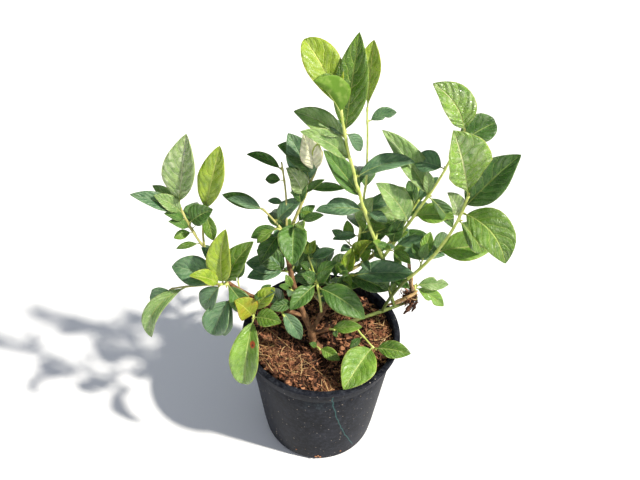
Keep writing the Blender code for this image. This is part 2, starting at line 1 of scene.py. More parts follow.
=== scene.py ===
# %% [markdown]
# # A highbush blueberry in its nursery pot
# The scene starts from the imported model, which has one solid for each limb, leafy mass, the pot and
# its potting mix.

# %% Load the imported plant
import math
import random
from collections import namedtuple

import bmesh
import bpy
from mathutils import Matrix, Quaternion, Vector, noise


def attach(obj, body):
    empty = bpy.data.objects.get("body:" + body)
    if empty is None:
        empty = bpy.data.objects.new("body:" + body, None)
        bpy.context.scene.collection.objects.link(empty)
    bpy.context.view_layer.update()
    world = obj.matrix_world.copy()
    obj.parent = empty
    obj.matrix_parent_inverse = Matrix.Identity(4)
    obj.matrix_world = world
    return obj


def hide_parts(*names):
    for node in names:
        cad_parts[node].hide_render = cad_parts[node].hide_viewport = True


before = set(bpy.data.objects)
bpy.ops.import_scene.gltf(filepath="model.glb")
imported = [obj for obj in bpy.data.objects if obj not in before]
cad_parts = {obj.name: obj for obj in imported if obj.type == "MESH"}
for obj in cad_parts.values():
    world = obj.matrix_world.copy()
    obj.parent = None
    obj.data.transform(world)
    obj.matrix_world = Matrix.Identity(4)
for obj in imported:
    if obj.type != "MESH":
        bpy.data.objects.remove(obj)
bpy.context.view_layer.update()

MM = 0.001

# %% [markdown]
# ## Tools for colours and materials
# Colours are picked as sRGB hex values, the way a paint program shows them, but a shader works with
# linear light, so one function turns them. Another adds a node to a material with its settings and
# its links in one call.

# %% Colours and nodes
def linear(hex_colour):
    """Linear red, green, blue and alpha of an sRGB hex colour."""
    parts = [int(hex_colour[i:i + 2], 16) / 255 for i in (1, 3, 5)]
    return (*[c / 12.92 if c <= 0.04045 else ((c + 0.055) / 1.055) ** 2.4 for c in parts], 1)


def add(tree, kind, inputs=None, stops=(), **settings):
    """Adds a shader node with its settings, input values and links, and a ramp's stops."""
    made = tree.nodes.new("ShaderNode" + kind)
    for key, value in settings.items():
        setattr(made, key, value)
    for key, value in (inputs or {}).items():
        if isinstance(value, bpy.types.NodeSocket):
            tree.links.new(value, made.inputs[key])
        else:
            made.inputs[key].default_value = value
    for i, (place, colour) in enumerate(stops):
        stop = made.color_ramp.elements[i] if i < 2 else made.color_ramp.elements.new(place)
        stop.position, stop.color = place, linear(colour)
    return made


def finish_material(name, **values):
    """New material with plain values on its Principled shader, and its node tree and shader."""
    made = bpy.data.materials.new(name)
    made.use_nodes = True
    shader = made.node_tree.nodes["Principled BSDF"]
    for key, value in values.items():
        shader.inputs[key.replace("_", " ")].default_value = value
    return made, made.node_tree, shader


# %% [markdown]
# ## Tools for pieces
# A bmesh operator takes longer the more its bmesh holds, so thousands of small shapes are made in
# small batches, and each batch is then poured into the whole. A finished piece is made out of the
# whole: its seams are closed, its faces turned outwards, and it rides on the plant's only body, its
# root.

# %% Batches and pieces
MERGE_DISTANCE = 0.001 * MM


def new_batch():
    """Empty bmesh with a texture coordinate layer."""
    bm = bmesh.new()
    bm.loops.layers.uv.new("UVMap")
    return bm


def pour(batch, whole):
    """Moves a small bmesh into a bigger one."""
    mesh = bpy.data.meshes.new("batch")
    batch.to_mesh(mesh)
    batch.free()
    whole.from_mesh(mesh)
    bpy.data.meshes.remove(mesh)


def as_object(name, bm):
    """New object in the scene, with its mesh, out of a bmesh in metres."""
    mesh = bpy.data.meshes.new(name)
    bm.to_mesh(mesh)
    bm.free()
    made = bpy.data.objects.new(name, mesh)
    bpy.context.scene.collection.objects.link(made)
    return made


def make_piece(name, bm, materials, closed=True, sharp=None):
    """Finished piece of the plant, smooth but for edges sharper than an angle."""
    bmesh.ops.remove_doubles(bm, verts=bm.verts, dist=MERGE_DISTANCE)
    if closed:
        bmesh.ops.recalc_face_normals(bm, faces=bm.faces)
    piece = as_object(name, bm)
    piece.data.shade_smooth()
    if sharp:
        piece.data.set_sharp_from_angle(angle=math.radians(sharp))
    for material in materials:
        piece.data.materials.append(material)
    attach(piece, "root")
    print(name, "faces:", len(piece.data.polygons))
    return piece


# %% [markdown]
# ## Camera
# The photograph looks down on the plant from the front. The camera's height and tilt were worked
# out from the rim, which shows as an ellipse, and from the pot's narrower foot.

# %% Camera
CAMERA_PLACE = (0, -0.42387, 0.65605)
LENS, SENSOR_WIDTH = 33.75, 36
PITCH, YAW, ROLL = 41.2, -0.55, 1.6

lens = bpy.data.cameras.new("camera")
lens.lens = LENS
lens.sensor_width = SENSOR_WIDTH
camera = bpy.data.objects.new("camera", lens)
turn = Matrix.Rotation(math.radians(-YAW), 4, "Z") @ Matrix.Rotation(math.radians(90 - PITCH), 4, "X")
camera.matrix_world = Matrix.Translation(CAMERA_PLACE) @ turn @ Matrix.Rotation(math.radians(ROLL), 4, "Z")
bpy.context.scene.collection.objects.link(camera)
bpy.context.scene.camera = camera
print("camera lens in mm:", LENS, "pitch in degrees:", PITCH)

# %% [markdown]
# ## Floor
# The photograph's ground is blank, so the floor is plain white paper, large enough that its edge
# stays out of sight. A floor is part of the stage and not of the plant.

# %% Floor
FLOOR_SIZE = 12

bm = bmesh.new()
bmesh.ops.create_grid(bm, x_segments=1, y_segments=1, size=FLOOR_SIZE / 2)
floor = as_object("floor", bm)
paper, tree, shader = finish_material("matt white paper", Roughness=0.9, Specular_IOR_Level=0.2)
place = add(tree, "TexCoord")
grain = add(tree, "TexNoise", {"Vector": place.outputs["Object"], "Scale": 3.0, "Detail": 2.0})
tint = add(tree, "ValToRGB", {"Fac": grain.outputs["Fac"]}, stops=((0.3, "#f8f8f7"), (0.7, "#fbfbfb")))
tree.links.new(tint.outputs["Color"], shader.inputs["Base Color"])
floor.data.materials.append(paper)
print("floor side in m:", FLOOR_SIZE)

# %% [markdown]
# ## Light
# A pale sky fills the shadows, and one lamp shines like a softened sun from the upper right. Its
# rays are parallel, so the floor is evenly white. The lamp splits each folded leaf into a bright
# half and a darker half, and it leaves the pot's front and the inside of its right rim in the shade.

# %% Sky and lamp
KEY_HEADING, KEY_RISE = -20, 47
KEY_STRENGTH, KEY_SPREAD = 5.4, 3
SKY_STRENGTH = 0.42

scene = bpy.context.scene
scene.view_settings.view_transform = "Standard"
world = bpy.data.worlds.new("pale sky")
world.use_nodes = True
world.node_tree.nodes["Background"].inputs["Color"].default_value = linear("#e9f0ff")
world.node_tree.nodes["Background"].inputs["Strength"].default_value = SKY_STRENGTH
scene.world = world


def direction(heading, rise):
    """Unit vector of a heading and a rise given in degrees; heading 0 is +X and 90 is +Y."""
    h, r = math.radians(heading), math.radians(rise)
    return Vector((math.cos(h) * math.cos(r), math.sin(h) * math.cos(r), math.sin(r)))


lamp = bpy.data.lights.new("key_lamp", "SUN")
lamp.energy = KEY_STRENGTH
lamp.angle = math.radians(KEY_SPREAD)
lamp.color = linear("#fffaf0")[:3]
holder = bpy.data.objects.new("key_lamp", lamp)
away = direction(KEY_HEADING, KEY_RISE)
holder.matrix_world = Matrix.Translation(away * 2) @ away.to_track_quat("Z", "Y").to_matrix().to_4x4()
scene.collection.objects.link(holder)
print("lamp heading and rise in degrees:", KEY_HEADING, KEY_RISE)

# %% [markdown]
# ## The pot
# The pot is thin polypropylene, thermoformed over a mould: a rolled lip, a band a finger wide under
# it that is a little wider than the wall, a crease where the band ends, a tapering wall, and a
# rounded corner with drainage slots. A round shell like this is its own half section, spun once
# around the upright axis. The slots are cut afterwards, because they cross both skins.

# %% Pot sizes and spinning
POT_HEIGHT = 158
RIM_RADIUS = 85
WALL_TOP_RADIUS = 80.5
BASE_RADIUS = 65
CORNER_RADIUS = 6
WALL = 1.6
FLOOR_THICKNESS = 2.0
LIP_HEIGHT = 3.0
LIP_ROUND = 1.4
BAND_HEIGHT = 17
BAND_STEP = 0.7
WALL_HEIGHTS = (20, 45, 70, 95, 118)
POT_STEPS = 144


def wall_radius(z):
    """Outer radius of the pot's plain wall at a height, in mm."""
    return BASE_RADIUS + (WALL_TOP_RADIUS - BASE_RADIUS) * z / POT_HEIGHT


def arc(cx, cz, radius, start, end, steps):
    """Points along an arc in a half section, angles in degrees."""
    turns = [math.radians(start + (end - start) * i / steps) for i in range(steps + 1)]
    return [(cx + radius * math.cos(a), cz + radius * math.sin(a)) for a in turns]


def spun(section, steps):
    """Bmesh of a half section in mm, spun around the upright axis."""
    bm = bmesh.new()
    verts = [bm.verts.new((x * MM, 0, z * MM)) for x, z in section]
    edges = [bm.edges.new(pair) for pair in zip(verts, verts[1:])]
    bmesh.ops.spin(bm, geom=verts + edges, cent=(0, 0, 0), axis=(0, 0, 1), angle=2 * math.pi,
                   steps=steps, use_merge=True)
    bmesh.ops.remove_doubles(bm, verts=bm.verts, dist=MERGE_DISTANCE)
    bmesh.ops.recalc_face_normals(bm, faces=bm.faces)
    return bm


print("pot height and rim width in mm:", POT_HEIGHT, 2 * RIM_RADIUS)

# %% [markdown]
# ## The pot's half section
# The section starts at the middle of the base and runs outwards, round the corner, up the wall and
# out over the band and the lip. It then comes down the inner skin to the middle of the floor. Its
# parts meet in small steps and arcs, because a mould leaves no sharp corner.

# %% Pot shell
lip_low = POT_HEIGHT - LIP_HEIGHT
band_low = lip_low - BAND_HEIGHT
inner = CORNER_RADIUS - WALL
# Outer skin, from the middle of the base up to the lip.
section = [(0, 0)]
section += arc(BASE_RADIUS - CORNER_RADIUS, CORNER_RADIUS, CORNER_RADIUS, -90, 0, 8)
section += [(wall_radius(z), z) for z in (*WALL_HEIGHTS, band_low - 3.5)]
section += [(wall_radius(band_low - 2) - 0.35, band_low - 2), (wall_radius(band_low) + 0.1, band_low - 0.7)]
section += [(wall_radius(z) + BAND_STEP, z) for z in (band_low + 0.5, band_low + 8, lip_low - 2.2)]
section += [(wall_radius(lip_low) + 1.6, lip_low - 0.7)]
section += arc(RIM_RADIUS - LIP_ROUND, lip_low + LIP_ROUND - 0.6, LIP_ROUND, -90, 0, 4)
section += arc(RIM_RADIUS - LIP_ROUND, POT_HEIGHT - LIP_ROUND, LIP_ROUND, 0, 90, 4)
# Inner skin, from the lip back down to the middle of the floor.
section += [(wall_radius(POT_HEIGHT) - WALL + 1.2, POT_HEIGHT)]
section += [(wall_radius(POT_HEIGHT) - WALL, POT_HEIGHT - 1)]
section += [(wall_radius(z) - WALL, z) for z in (lip_low - 2, band_low + 2)]
section += [(wall_radius(z) - WALL - 0.4, z) for z in (band_low - 2, 90, 45)]
section += arc(BASE_RADIUS - CORNER_RADIUS, FLOOR_THICKNESS + inner, inner, 0, -90, 6)
section += [(0, FLOOR_THICKNESS)]
pot_bm = spun(section, POT_STEPS)
print("pot section points:", len(section))

# %% [markdown]
# ## Drainage slots
# Each slot is an oval prism that leans 45 degrees, so that it opens the rounded corner. A Boolean
# cuts them all, and its result is kept as the pot's mesh.

# %% Cut the drainage slots
SLOT_COUNT = 8
SLOT_WIDTH, SLOT_LENGTH, SLOT_DEPTH = 5, 10, 12

slots_bm = bmesh.new()
for i in range(SLOT_COUNT):
    oval = bmesh.ops.create_cone(slots_bm, cap_ends=True, segments=20, radius1=SLOT_WIDTH / 2 * MM,
                                 radius2=SLOT_WIDTH / 2 * MM, depth=SLOT_DEPTH * MM)["verts"]
    bmesh.ops.scale(slots_bm, vec=(1, SLOT_LENGTH / SLOT_WIDTH, 1), verts=oval)
    lean = Vector((0, 0, 1)).rotation_difference(direction(0, -45)).to_matrix()
    bmesh.ops.rotate(slots_bm, matrix=lean, verts=oval)
    inset = CORNER_RADIUS * (1 - math.cos(math.radians(45)))
    bmesh.ops.translate(slots_bm, vec=Vector((BASE_RADIUS - inset, 0, inset)) * MM, verts=oval)
    around = Matrix.Rotation(2 * math.pi * (i + 0.5) / SLOT_COUNT, 3, "Z")
    bmesh.ops.rotate(slots_bm, matrix=around, verts=oval)

uncut, cutters = as_object("pot_uncut", pot_bm), as_object("slot_cutters", slots_bm)
cut = uncut.modifiers.new("slots", "BOOLEAN")
cut.object = cutters
cut.solver = "EXACT"
pot_bm = bmesh.new()
pot_bm.from_object(uncut, bpy.context.evaluated_depsgraph_get())
for thing in (uncut, cutters):
    bpy.data.objects.remove(thing)
print("slots cut:", SLOT_COUNT)

# %% [markdown]
# ## Pot plastic
# Recycled black polypropylene comes off the mould matt, and a nursery bench leaves it dusty, with a
# grey film and tan and white specks. A few cells of a Voronoi pattern are chosen to be specks, and
# each takes its shade from its cell's own random colour. Colour and roughness share the film's mask,
# so a dusty patch is also a duller one.

# %% Plastic, film and specks
CLOUD_SIZE, FILM_SIZE = 38, 5
FILM_MOST = 0.5
SPECK_SPACING, SPECK_SHARE, SPECK_STRENGTH = 4.275, 0.38, 0.85

plastic, tree, shader = finish_material("recycled black polypropylene", IOR=1.49, Specular_IOR_Level=0.05)
place = add(tree, "TexCoord").outputs["Object"]
cloud = add(tree, "TexNoise", {"Vector": place, "Scale": 1 / (CLOUD_SIZE * MM), "Detail": 5.0,
                               "Roughness": 0.6})
base = add(tree, "ValToRGB", {"Fac": cloud.outputs["Fac"]},
           stops=((0.3, "#0e1016"), (0.72, "#22242c"), (0.5, "#16181f")))
specks = add(tree, "TexVoronoi", {"Vector": place, "Scale": 1 / (SPECK_SPACING * MM), "Randomness": 1.0})
speck = add(tree, "MapRange", {"Value": specks.outputs["Distance"], "From Min": 0.09, "From Max": 0.2,
                               "To Min": 1.0, "To Max": 0.0})
some = add(tree, "SeparateXYZ", {"Vector": specks.outputs["Color"]})
chosen = add(tree, "Math", {0: some.outputs["X"], 1: 1 - SPECK_SHARE}, operation="GREATER_THAN")
speck = add(tree, "Math", {0: speck.outputs["Result"], 1: chosen.outputs[0]}, operation="MULTIPLY",
            use_clamp=True)
film = add(tree, "TexNoise", {"Vector": place, "Scale": 1 / (FILM_SIZE * MM), "Detail": 8.0,
                              "Roughness": 0.8})
film = add(tree, "MapRange", {"Value": film.outputs["Fac"], "From Min": 0.46, "From Max": 0.75,
                              "To Max": FILM_MOST})
dusty = add(tree, "Mix", {0: film.outputs["Result"], 6: base.outputs["Color"], 7: linear("#5c5f68")},
            data_type="RGBA")
shade = add(tree, "ValToRGB", {"Fac": some.outputs["Y"]},
            stops=((0.3, "#97908a"), (0.7, "#b3a695"), (0.5, "#7d6a58")))
speck_amount = add(tree, "Math", {0: speck.outputs[0], 1: SPECK_STRENGTH}, operation="MULTIPLY")
dusty = add(tree, "Mix", {0: speck_amount.outputs[0], 6: dusty.outputs[2], 7: shade.outputs["Color"]},
            data_type="RGBA")
rough = add(tree, "MapRange", {"Value": film.outputs["Result"], "From Max": FILM_MOST,
                               "To Min": 0.46, "To Max": 0.72})
tree.links.new(rough.outputs["Result"], shader.inputs["Roughness"])
print("nodes for plastic and dust:", len(tree.nodes))

# %% [markdown]
# ## Teal streak
# A thin teal streak runs down the front like a drip. It follows the wall: its angle around the pot
# grows with the depth below the band, faster towards the foot, and wobbles a little. What is left
# of it at a point depends on how far that point's own angle is from the streak's. A fainter smear of
# the same teal lies under the band where the film is thick.

# %% Streak and smear
STREAK_FOOT, STREAK_HEAD = 0.01, 0.142
STREAK_ANGLE, STREAK_SWING, STREAK_BEND = 0.175, 0.52, 1.5
STREAK_STRENGTH, STREAK_CORE, STREAK_EDGE = 0.34, 0.003, 0.011
WOBBLE_SIZE, WOBBLE = 12, 0.03
SMEAR_LEVEL, SMEAR_REACH, SMEAR_NARROWING, SMEAR_STRENGTH = 0.13, 0.012, 3.6, 0.3

axes = add(tree, "SeparateXYZ", {"Vector": place})
front = add(tree, "Math", {0: axes.outputs["Y"], 1: -1.0}, operation="MULTIPLY")
around = add(tree, "Math", {0: axes.outputs["X"], 1: front.outputs[0]}, operation="ARCTAN2")
course = add(tree, "MapRange", {"Value": axes.outputs["Z"], "From Min": STREAK_FOOT, "From Max": STREAK_HEAD,
                                "To Min": 1.0, "To Max": 0.0})
course = add(tree, "Math", {0: course.outputs["Result"], 1: STREAK_BEND}, operation="POWER")
course = add(tree, "Math", {0: course.outputs[0], 1: STREAK_SWING, 2: STREAK_ANGLE}, operation="MULTIPLY_ADD")
wobble = add(tree, "TexNoise", {"Vector": place, "Scale": 1 / (WOBBLE_SIZE * MM), "Detail": 3.0})
wobble = add(tree, "MapRange", {"Value": wobble.outputs["Fac"], "To Min": -WOBBLE, "To Max": WOBBLE})
course = add(tree, "Math", {0: course.outputs[0], 1: wobble.outputs["Result"]}, operation="ADD")
off = add(tree, "Math", {0: around.outputs[0], 1: course.outputs[0]}, operation="SUBTRACT")
off = add(tree, "Math", {0: off.outputs[0]}, operation="ABSOLUTE")
streak = add(tree, "MapRange", {"Value": off.outputs[0], "From Min": STREAK_CORE, "From Max": STREAK_EDGE,
                                "To Min": STREAK_STRENGTH, "To Max": 0.0})
below = add(tree, "MapRange", {"Value": axes.outputs["Z"], "From Min": 0.152, "From Max": 0.145})
above = add(tree, "MapRange", {"Value": axes.outputs["Z"], "From Min": 0.012, "From Max": 0.02})
streak = add(tree, "Math", {0: streak.outputs["Result"], 1: below.outputs["Result"]}, operation="MULTIPLY")
streak = add(tree, "Math", {0: streak.outputs[0], 1: above.outputs["Result"]}, operation="MULTIPLY")
level = add(tree, "Math", {0: axes.outputs["Z"], 1: SMEAR_LEVEL}, operation="SUBTRACT")
level = add(tree, "Math", {0: level.outputs[0], 1: 1 / SMEAR_REACH}, operation="MULTIPLY")
level = add(tree, "Math", {0: level.outputs[0]}, operation="ABSOLUTE")
beside = add(tree, "Math", {0: around.outputs[0], 1: SMEAR_NARROWING}, operation="MULTIPLY")
beside = add(tree, "Math", {0: beside.outputs[0]}, operation="ABSOLUTE")
far = add(tree, "Math", {0: level.outputs[0], 1: beside.outputs[0]}, operation="MAXIMUM")
smear = add(tree, "MapRange", {"Value": far.outputs[0], "From Min": 0.2, "From Max": 1.0,
                               "To Min": SMEAR_STRENGTH, "To Max": 0.0})
smear = add(tree, "Math", {0: smear.outputs["Result"], 1: film.outputs["Result"]}, operation="MULTIPLY")
streak = add(tree, "Math", {0: streak.outputs[0], 1: smear.outputs[0]}, operation="ADD", use_clamp=True)
teal = add(tree, "Mix", {0: streak.outputs[0], 6: dusty.outputs[2], 7: linear("#4f8a84")}, data_type="RGBA")
tree.links.new(teal.outputs[2], shader.inputs["Base Color"])
print("nodes with the streak:", len(tree.nodes))

# %% [markdown]
# ## Scratches
# Handling leaves fine scratches. They are noise that is squeezed along a tilted upright axis, and
# they only move the normal.

# %% Scratches and the pot's piece
SCRATCH_SPACING = 3.0

lie = add(tree, "Mapping", {"Vector": place, "Scale": (1.0, 1.0, 0.12), "Rotation": (0.25, 0.1, 0.0)})
scratches = add(tree, "TexNoise", {"Vector": lie.outputs["Vector"], "Scale": 1 / (SCRATCH_SPACING * MM),
                                   "Detail": 8.0, "Roughness": 0.75})
relief = add(tree, "Bump", {"Height": scratches.outputs["Fac"], "Strength": 0.35, "Distance": 0.0004})
tree.links.new(relief.outputs["Normal"], shader.inputs["Normal"])
pot = make_piece("pot_shell", pot_bm, [plastic], sharp=40)
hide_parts("pot")

# %% [markdown]
# ## Potting mix
# The mix is shredded coir and peat. Its bed is one closed body, spun like the pot and then lifted
# into lumps with noise. The looks come from what lies on it: thousands of loose fibres, crumbs and
# flakes, each a tiny shape of a few faces, thrown by a seeded rule. The bed is heaped at the front
# left and slopes down from there, it has clods up to a centimetre wide, and it is nearly level round
# the trunk.

# %% Mix bed
SOIL_LEVEL = 150
SOIL_SLOPE, SOIL_SLOPE_HEADING = 0.04, 30
SOIL_ROUGHNESS, SOIL_LUMP = 1.6, 14
SOIL_FALL = 7
CLOD_SIZE, CLOD_HEIGHT = 9, 2.4
GRIT_SIZE, GRIT_HEIGHT = 3, 0.9
HEAP, HEAP_HEIGHT, HEAP_REACH = (-44, -52), 4.5, 28
GAP = 0.3
FLAT_ROUND_TRUNK = 18
TRUNK_FOOT = (-3.5, -21.4)
MIX_RINGS = 46
MIX_STEPS = 180


def soil_height(x, y):
    """Height of the mix in mm: a slope with a heap, lumps and clods, nearly flat round the trunk."""
    away = Vector((x, y)) - Vector(TRUNK_FOOT)
    fall = away.dot(direction(SOIL_SLOPE_HEADING, 0).xy) * SOIL_SLOPE
    lump = noise.noise(Vector((x, y, 0)) / SOIL_LUMP) * SOIL_ROUGHNESS * 2
    heap = HEAP_HEIGHT * math.exp(-((Vector((x, y)) - Vector(HEAP)).length / HEAP_REACH) ** 2)
    blend = min(max((away.length - FLAT_ROUND_TRUNK) / FLAT_ROUND_TRUNK, 0), 1)
    clod = noise.fractal(Vector((x, y, 0)) / CLOD_SIZE, 1.0, 2.0, 3) * CLOD_HEIGHT
    return SOIL_LEVEL + (lump - fall + heap) * blend + clod * (0.3 + 0.7 * blend)


top = wall_radius(SOIL_LEVEL - SOIL_FALL) - WALL - GAP - 0.4
section = [(top * i / MIX_RINGS, SOIL_LEVEL) for i in range(MIX_RINGS + 1)]
section += [(wall_radius(z) - WALL - GAP - 0.5, z) for z in (140, 80, 20)]
section += arc(BASE_RADIUS - CORNER_RADIUS, FLOOR_THICKNESS + GAP + inner, inner - GAP - 0.1, 0, -90, 4)
section += [(0, FLOOR_THICKNESS + GAP)]
bed_bm = spun(section, MIX_STEPS)
for vert in bed_bm.verts:
    x, y, z = vert.co / MM
    if z > SOIL_LEVEL - 1:
        grit = noise.fractal(Vector((x, y, 0)) / GRIT_SIZE, 1.0, 2.0, 3) * GRIT_HEIGHT
        vert.co.z = (soil_height(x, y) + grit - 0.4) * MM
print("height of the mix at its middle in mm:", round(soil_height(0, 0), 1))

# %% [markdown]
# ## Peat
# Between the fibres shows damp peat, which is dark, dull and grainy: a noise for its colour and
# grain, and small round pores.

# %% Peat and the bed's piece
GRAIN_SIZE, PORE_SPACING = 3.5, 1.6

peat, tree, shader = finish_material("damp peat and coir dust", Roughness=0.95, IOR=1.4,
                                     Specular_IOR_Level=0.25)
place = add(tree, "TexCoord").outputs["Object"]
grains = add(tree, "TexNoise", {"Vector": place, "Scale": 1 / (GRAIN_SIZE * MM), "Detail": 8.0,
                                "Roughness": 0.75})
earth = add(tree, "ValToRGB", {"Fac": grains.outputs["Fac"]},
            stops=((0.32, "#1d130e"), (0.72, "#6b4631"), (0.5, "#39251b")))
tree.links.new(earth.outputs["Color"], shader.inputs["Base Color"])
pores = add(tree, "TexVoronoi", {"Vector": place, "Scale": 1 / (PORE_SPACING * MM)})
relief = add(tree, "Bump", {"Height": grains.outputs["Fac"], "Strength": 0.9, "Distance": 0.0015})
relief = add(tree, "Bump", {"Height": pores.outputs["Distance"], "Strength": 0.5, "Distance": 0.0006,
                            "Normal": relief.outputs["Normal"]})
tree.links.new(relief.outputs["Normal"], shader.inputs["Normal"])
bed = make_piece("mix_bed", bed_bm, [peat])
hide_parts("potting_mix")

# %% [markdown]
# ## Tubes on a centre line
# Stems, twigs, leaf stalks and fibres are all tubes that follow a line. A tube starts as a flat
# grid: its columns are wrapped around the line and its rows are set along it, with the two end rows
# drawn to a point. The grid already has texture coordinates, so a pattern can follow the tube.

# %% Tube rule
def add_tube(bm, line, sides, shape=None):
    """Adds a closed tube along (point, radius) pairs in mm; shape(row, turn) scales its radius."""
    rows = [line[0], *line, line[-1]]
    verts = bmesh.ops.create_grid(bm, x_segments=sides, y_segments=len(rows) - 1, size=0.5,
                                  calc_uvs=True)["verts"]
    frames, side = [], None
    for i in range(len(line)):
        along_line = (line[min(i + 1, len(line) - 1)][0] - line[max(i - 1, 0)][0]).normalized()
        side = side - along_line * side.dot(along_line) if side else along_line.orthogonal()
        side.normalize()
        frames.append((side, along_line.cross(side)))
    frames = [frames[0], *frames, frames[-1]]
    for vert in verts:
        row, turn = round((vert.co.y + 0.5) * (len(rows) - 1)), 2 * math.pi * (vert.co.x + 0.5)
        point, radius = rows[row]
        if row in (0, len(rows) - 1):
            radius = 0
        elif shape:
            radius *= shape(row - 1, turn)
        out = frames[row][0] * math.cos(turn) + frames[row][1] * math.sin(turn)
        vert.co = (point + out * radius) * MM
    return verts


def paint(verts, index):
    """Gives the faces of some vertices a material slot."""
    for face in {face for vert in verts for face in vert.link_faces}:
        face.material_index = index


# %% [markdown]
# ## Coir and straw
# Coir fibres are stiff and tan and lie in every direction; peat crumbs are darker. Four shades are
# enough for the eye to read thousands of different fibres, because the light changes each of them
# again.

# %% Coir materials
def plain_fibre_material(name, dark, light, roughness, scale):
    """Dry plant matter in two shades that change along a few millimetres."""
    made, tree, shader = finish_material(name, Roughness=roughness, IOR=1.45, Specular_IOR_Level=0.3)
    place = add(tree, "TexCoord").outputs["Object"]
    change = add(tree, "TexNoise", {"Vector": place, "Scale": 1 / (scale * MM), "Detail": 3.0})
    tone = add(tree, "ValToRGB", {"Fac": change.outputs["Fac"]}, stops=((0.35, dark), (0.65, light)))
    tree.links.new(tone.outputs["Color"], shader.inputs["Base Color"])
    relief = add(tree, "Bump", {"Height": change.outputs["Fac"], "Strength": 0.5, "Distance": 0.0003})
    tree.links.new(relief.outputs["Normal"], shader.inputs["Normal"])
    return made


coir = [plain_fibre_material("dry coir, tan", "#85523a", "#c08a64", 0.8, 4),
        plain_fibre_material("damp coir, brown", "#4a2f21", "#734a34", 0.85, 4),
        plain_fibre_material("peat, dark brown", "#1f1410", "#3d281e", 0.95, 3),
        plain_fibre_material("bleached straw", "#b8905f", "#dcbb88", 0.7, 6)]
TAN, BROWN, PEAT, STRAW = range(len(coir))
print("coir shades:", len(coir))

# %% [markdown]
# ## Throwing things on the mix
# Thousands of small bits lie on the mix, so a seeded rule throws them in batches. A bit lands in a
# tuft or anywhere inside the rim. The tufts are where the photograph shows them, at the front left
# and on the right.

# %% Scatter rule
# Each tuft is its middle on the mix and its size in mm.
BATCH = 60
REACH_OF_MIX = 76
TUFTS = ((-43, -43, 13), (-61, -28, 10), (-24, -56, 12), (62, -6, 14), (70, 22, 9), (12, -72, 12),
         (30, 30, 16))
rng = random.Random(11)


def on_the_mix(share_in_tufts):
    """A random place on the mix in mm, in a tuft or anywhere, and whether it is in a tuft."""
    tufted = rng.random() < share_in_tufts
    if tufted:
        x, y, size = rng.choice(TUFTS)
        x, y = rng.gauss(x, size * 0.6), rng.gauss(y, size * 0.6)
    else:
        radius, turn = REACH_OF_MIX * math.sqrt(rng.random()), rng.uniform(0, 2 * math.pi)
        x, y = radius * math.cos(turn), radius * math.sin(turn)
    inwards = min(1, REACH_OF_MIX / max(math.hypot(x, y), 1))
    return x * inwards, y * inwards, tufted


def scatter(count, add_one):
    """Bmesh that holds many small shapes, made in batches."""
    whole = new_batch()
    for _ in range(count // BATCH):
        batch = new_batch()
        for _ in range(BATCH):
            add_one(batch)
        pour(batch, whole)
    return whole


print("tufts on the mix:", len(TUFTS))

# %% [markdown]
# ## Fibres on the mix
# A fibre is a three-sided tube that bends evenly. In the tufts fibres are thicker and paler, and
# elsewhere most are thin and as dark as the peat. Four long straws lie across the mix.

# %% Fibres
# Radii are in mm; each straw is its start and its end.
FIBRES = 3600
TUFT_RADII, TUFT_SHADES = (0.22, 0.34, 0.55, 0.8), (TAN, TAN, BROWN, STRAW)
PLAIN_RADII, PLAIN_SHADES = (0.16, 0.22, 0.34, 0.55), (TAN, BROWN, BROWN, PEAT, PEAT, PEAT, PEAT)
LONG_STRAWS = (((-66, 8), (6, -60)), ((-44, 30), (-70, -14)), ((20, -50), (48, -58)), ((52, 10), (74, -18)))


def bent_fibre(start, heading, rise, bend, length, radius):
    """Centre line in mm of a fibre that bends evenly and sinks a little at its end."""
    point, line = start, []
    for k in range(4):
        line.append((point, radius * (1 - 0.2 * k)))
        point = point + direction(heading + bend * k / 3, rise - 7 * k) * length / 3
    return line


def add_fibre(batch):
    """Adds one loose fibre that stays on the mix."""
    x, y, tufted = on_the_mix(0.45)
    length = rng.uniform(5, 14) if rng.random() < 0.75 else rng.uniform(14, 28)
    start = Vector((x, y, soil_height(x, y) + rng.uniform(-0.3, 2.2 if tufted else 1.2)))
    line = bent_fibre(start, rng.uniform(0, 360), rng.gauss(5, 15), rng.uniform(-70, 70), length,
                      rng.choice(TUFT_RADII if tufted else PLAIN_RADII))
    if all(p.xy.length < REACH_OF_MIX + 1 for p, _ in line):
        paint(add_tube(batch, line, 3), rng.choice(TUFT_SHADES if tufted else PLAIN_SHADES))


fibre_bm = scatter(FIBRES, add_fibre)
for start, end in LONG_STRAWS:
    points = [Vector(start).lerp(Vector(end), k / 8) for k in range(9)]
    line = [(Vector((*p, soil_height(*p) + 2.2 + math.sin(k * 1.1))), 0.34) for k, p in enumerate(points)]
    paint(add_tube(fibre_bm, line, 4), STRAW)
make_piece("mix_fibres", fibre_bm, coir)

# %% [markdown]
# ## Crumbs
# Crumbs are little balls, squashed and made uneven corner by corner. A few tan ones cling to the
# pot's foot at the front.

# %% Crumbs
# Each crumb at the foot is its heading round the pot in degrees, its height and its radius in mm.
CRUMBS = 2400
FOOT_CRUMBS = ((-91, 9, 1.4), (-89, 11, 1.0), (-87, 8, 1.2), (-111, 17, 1.1), (-66, 14, 0.9))


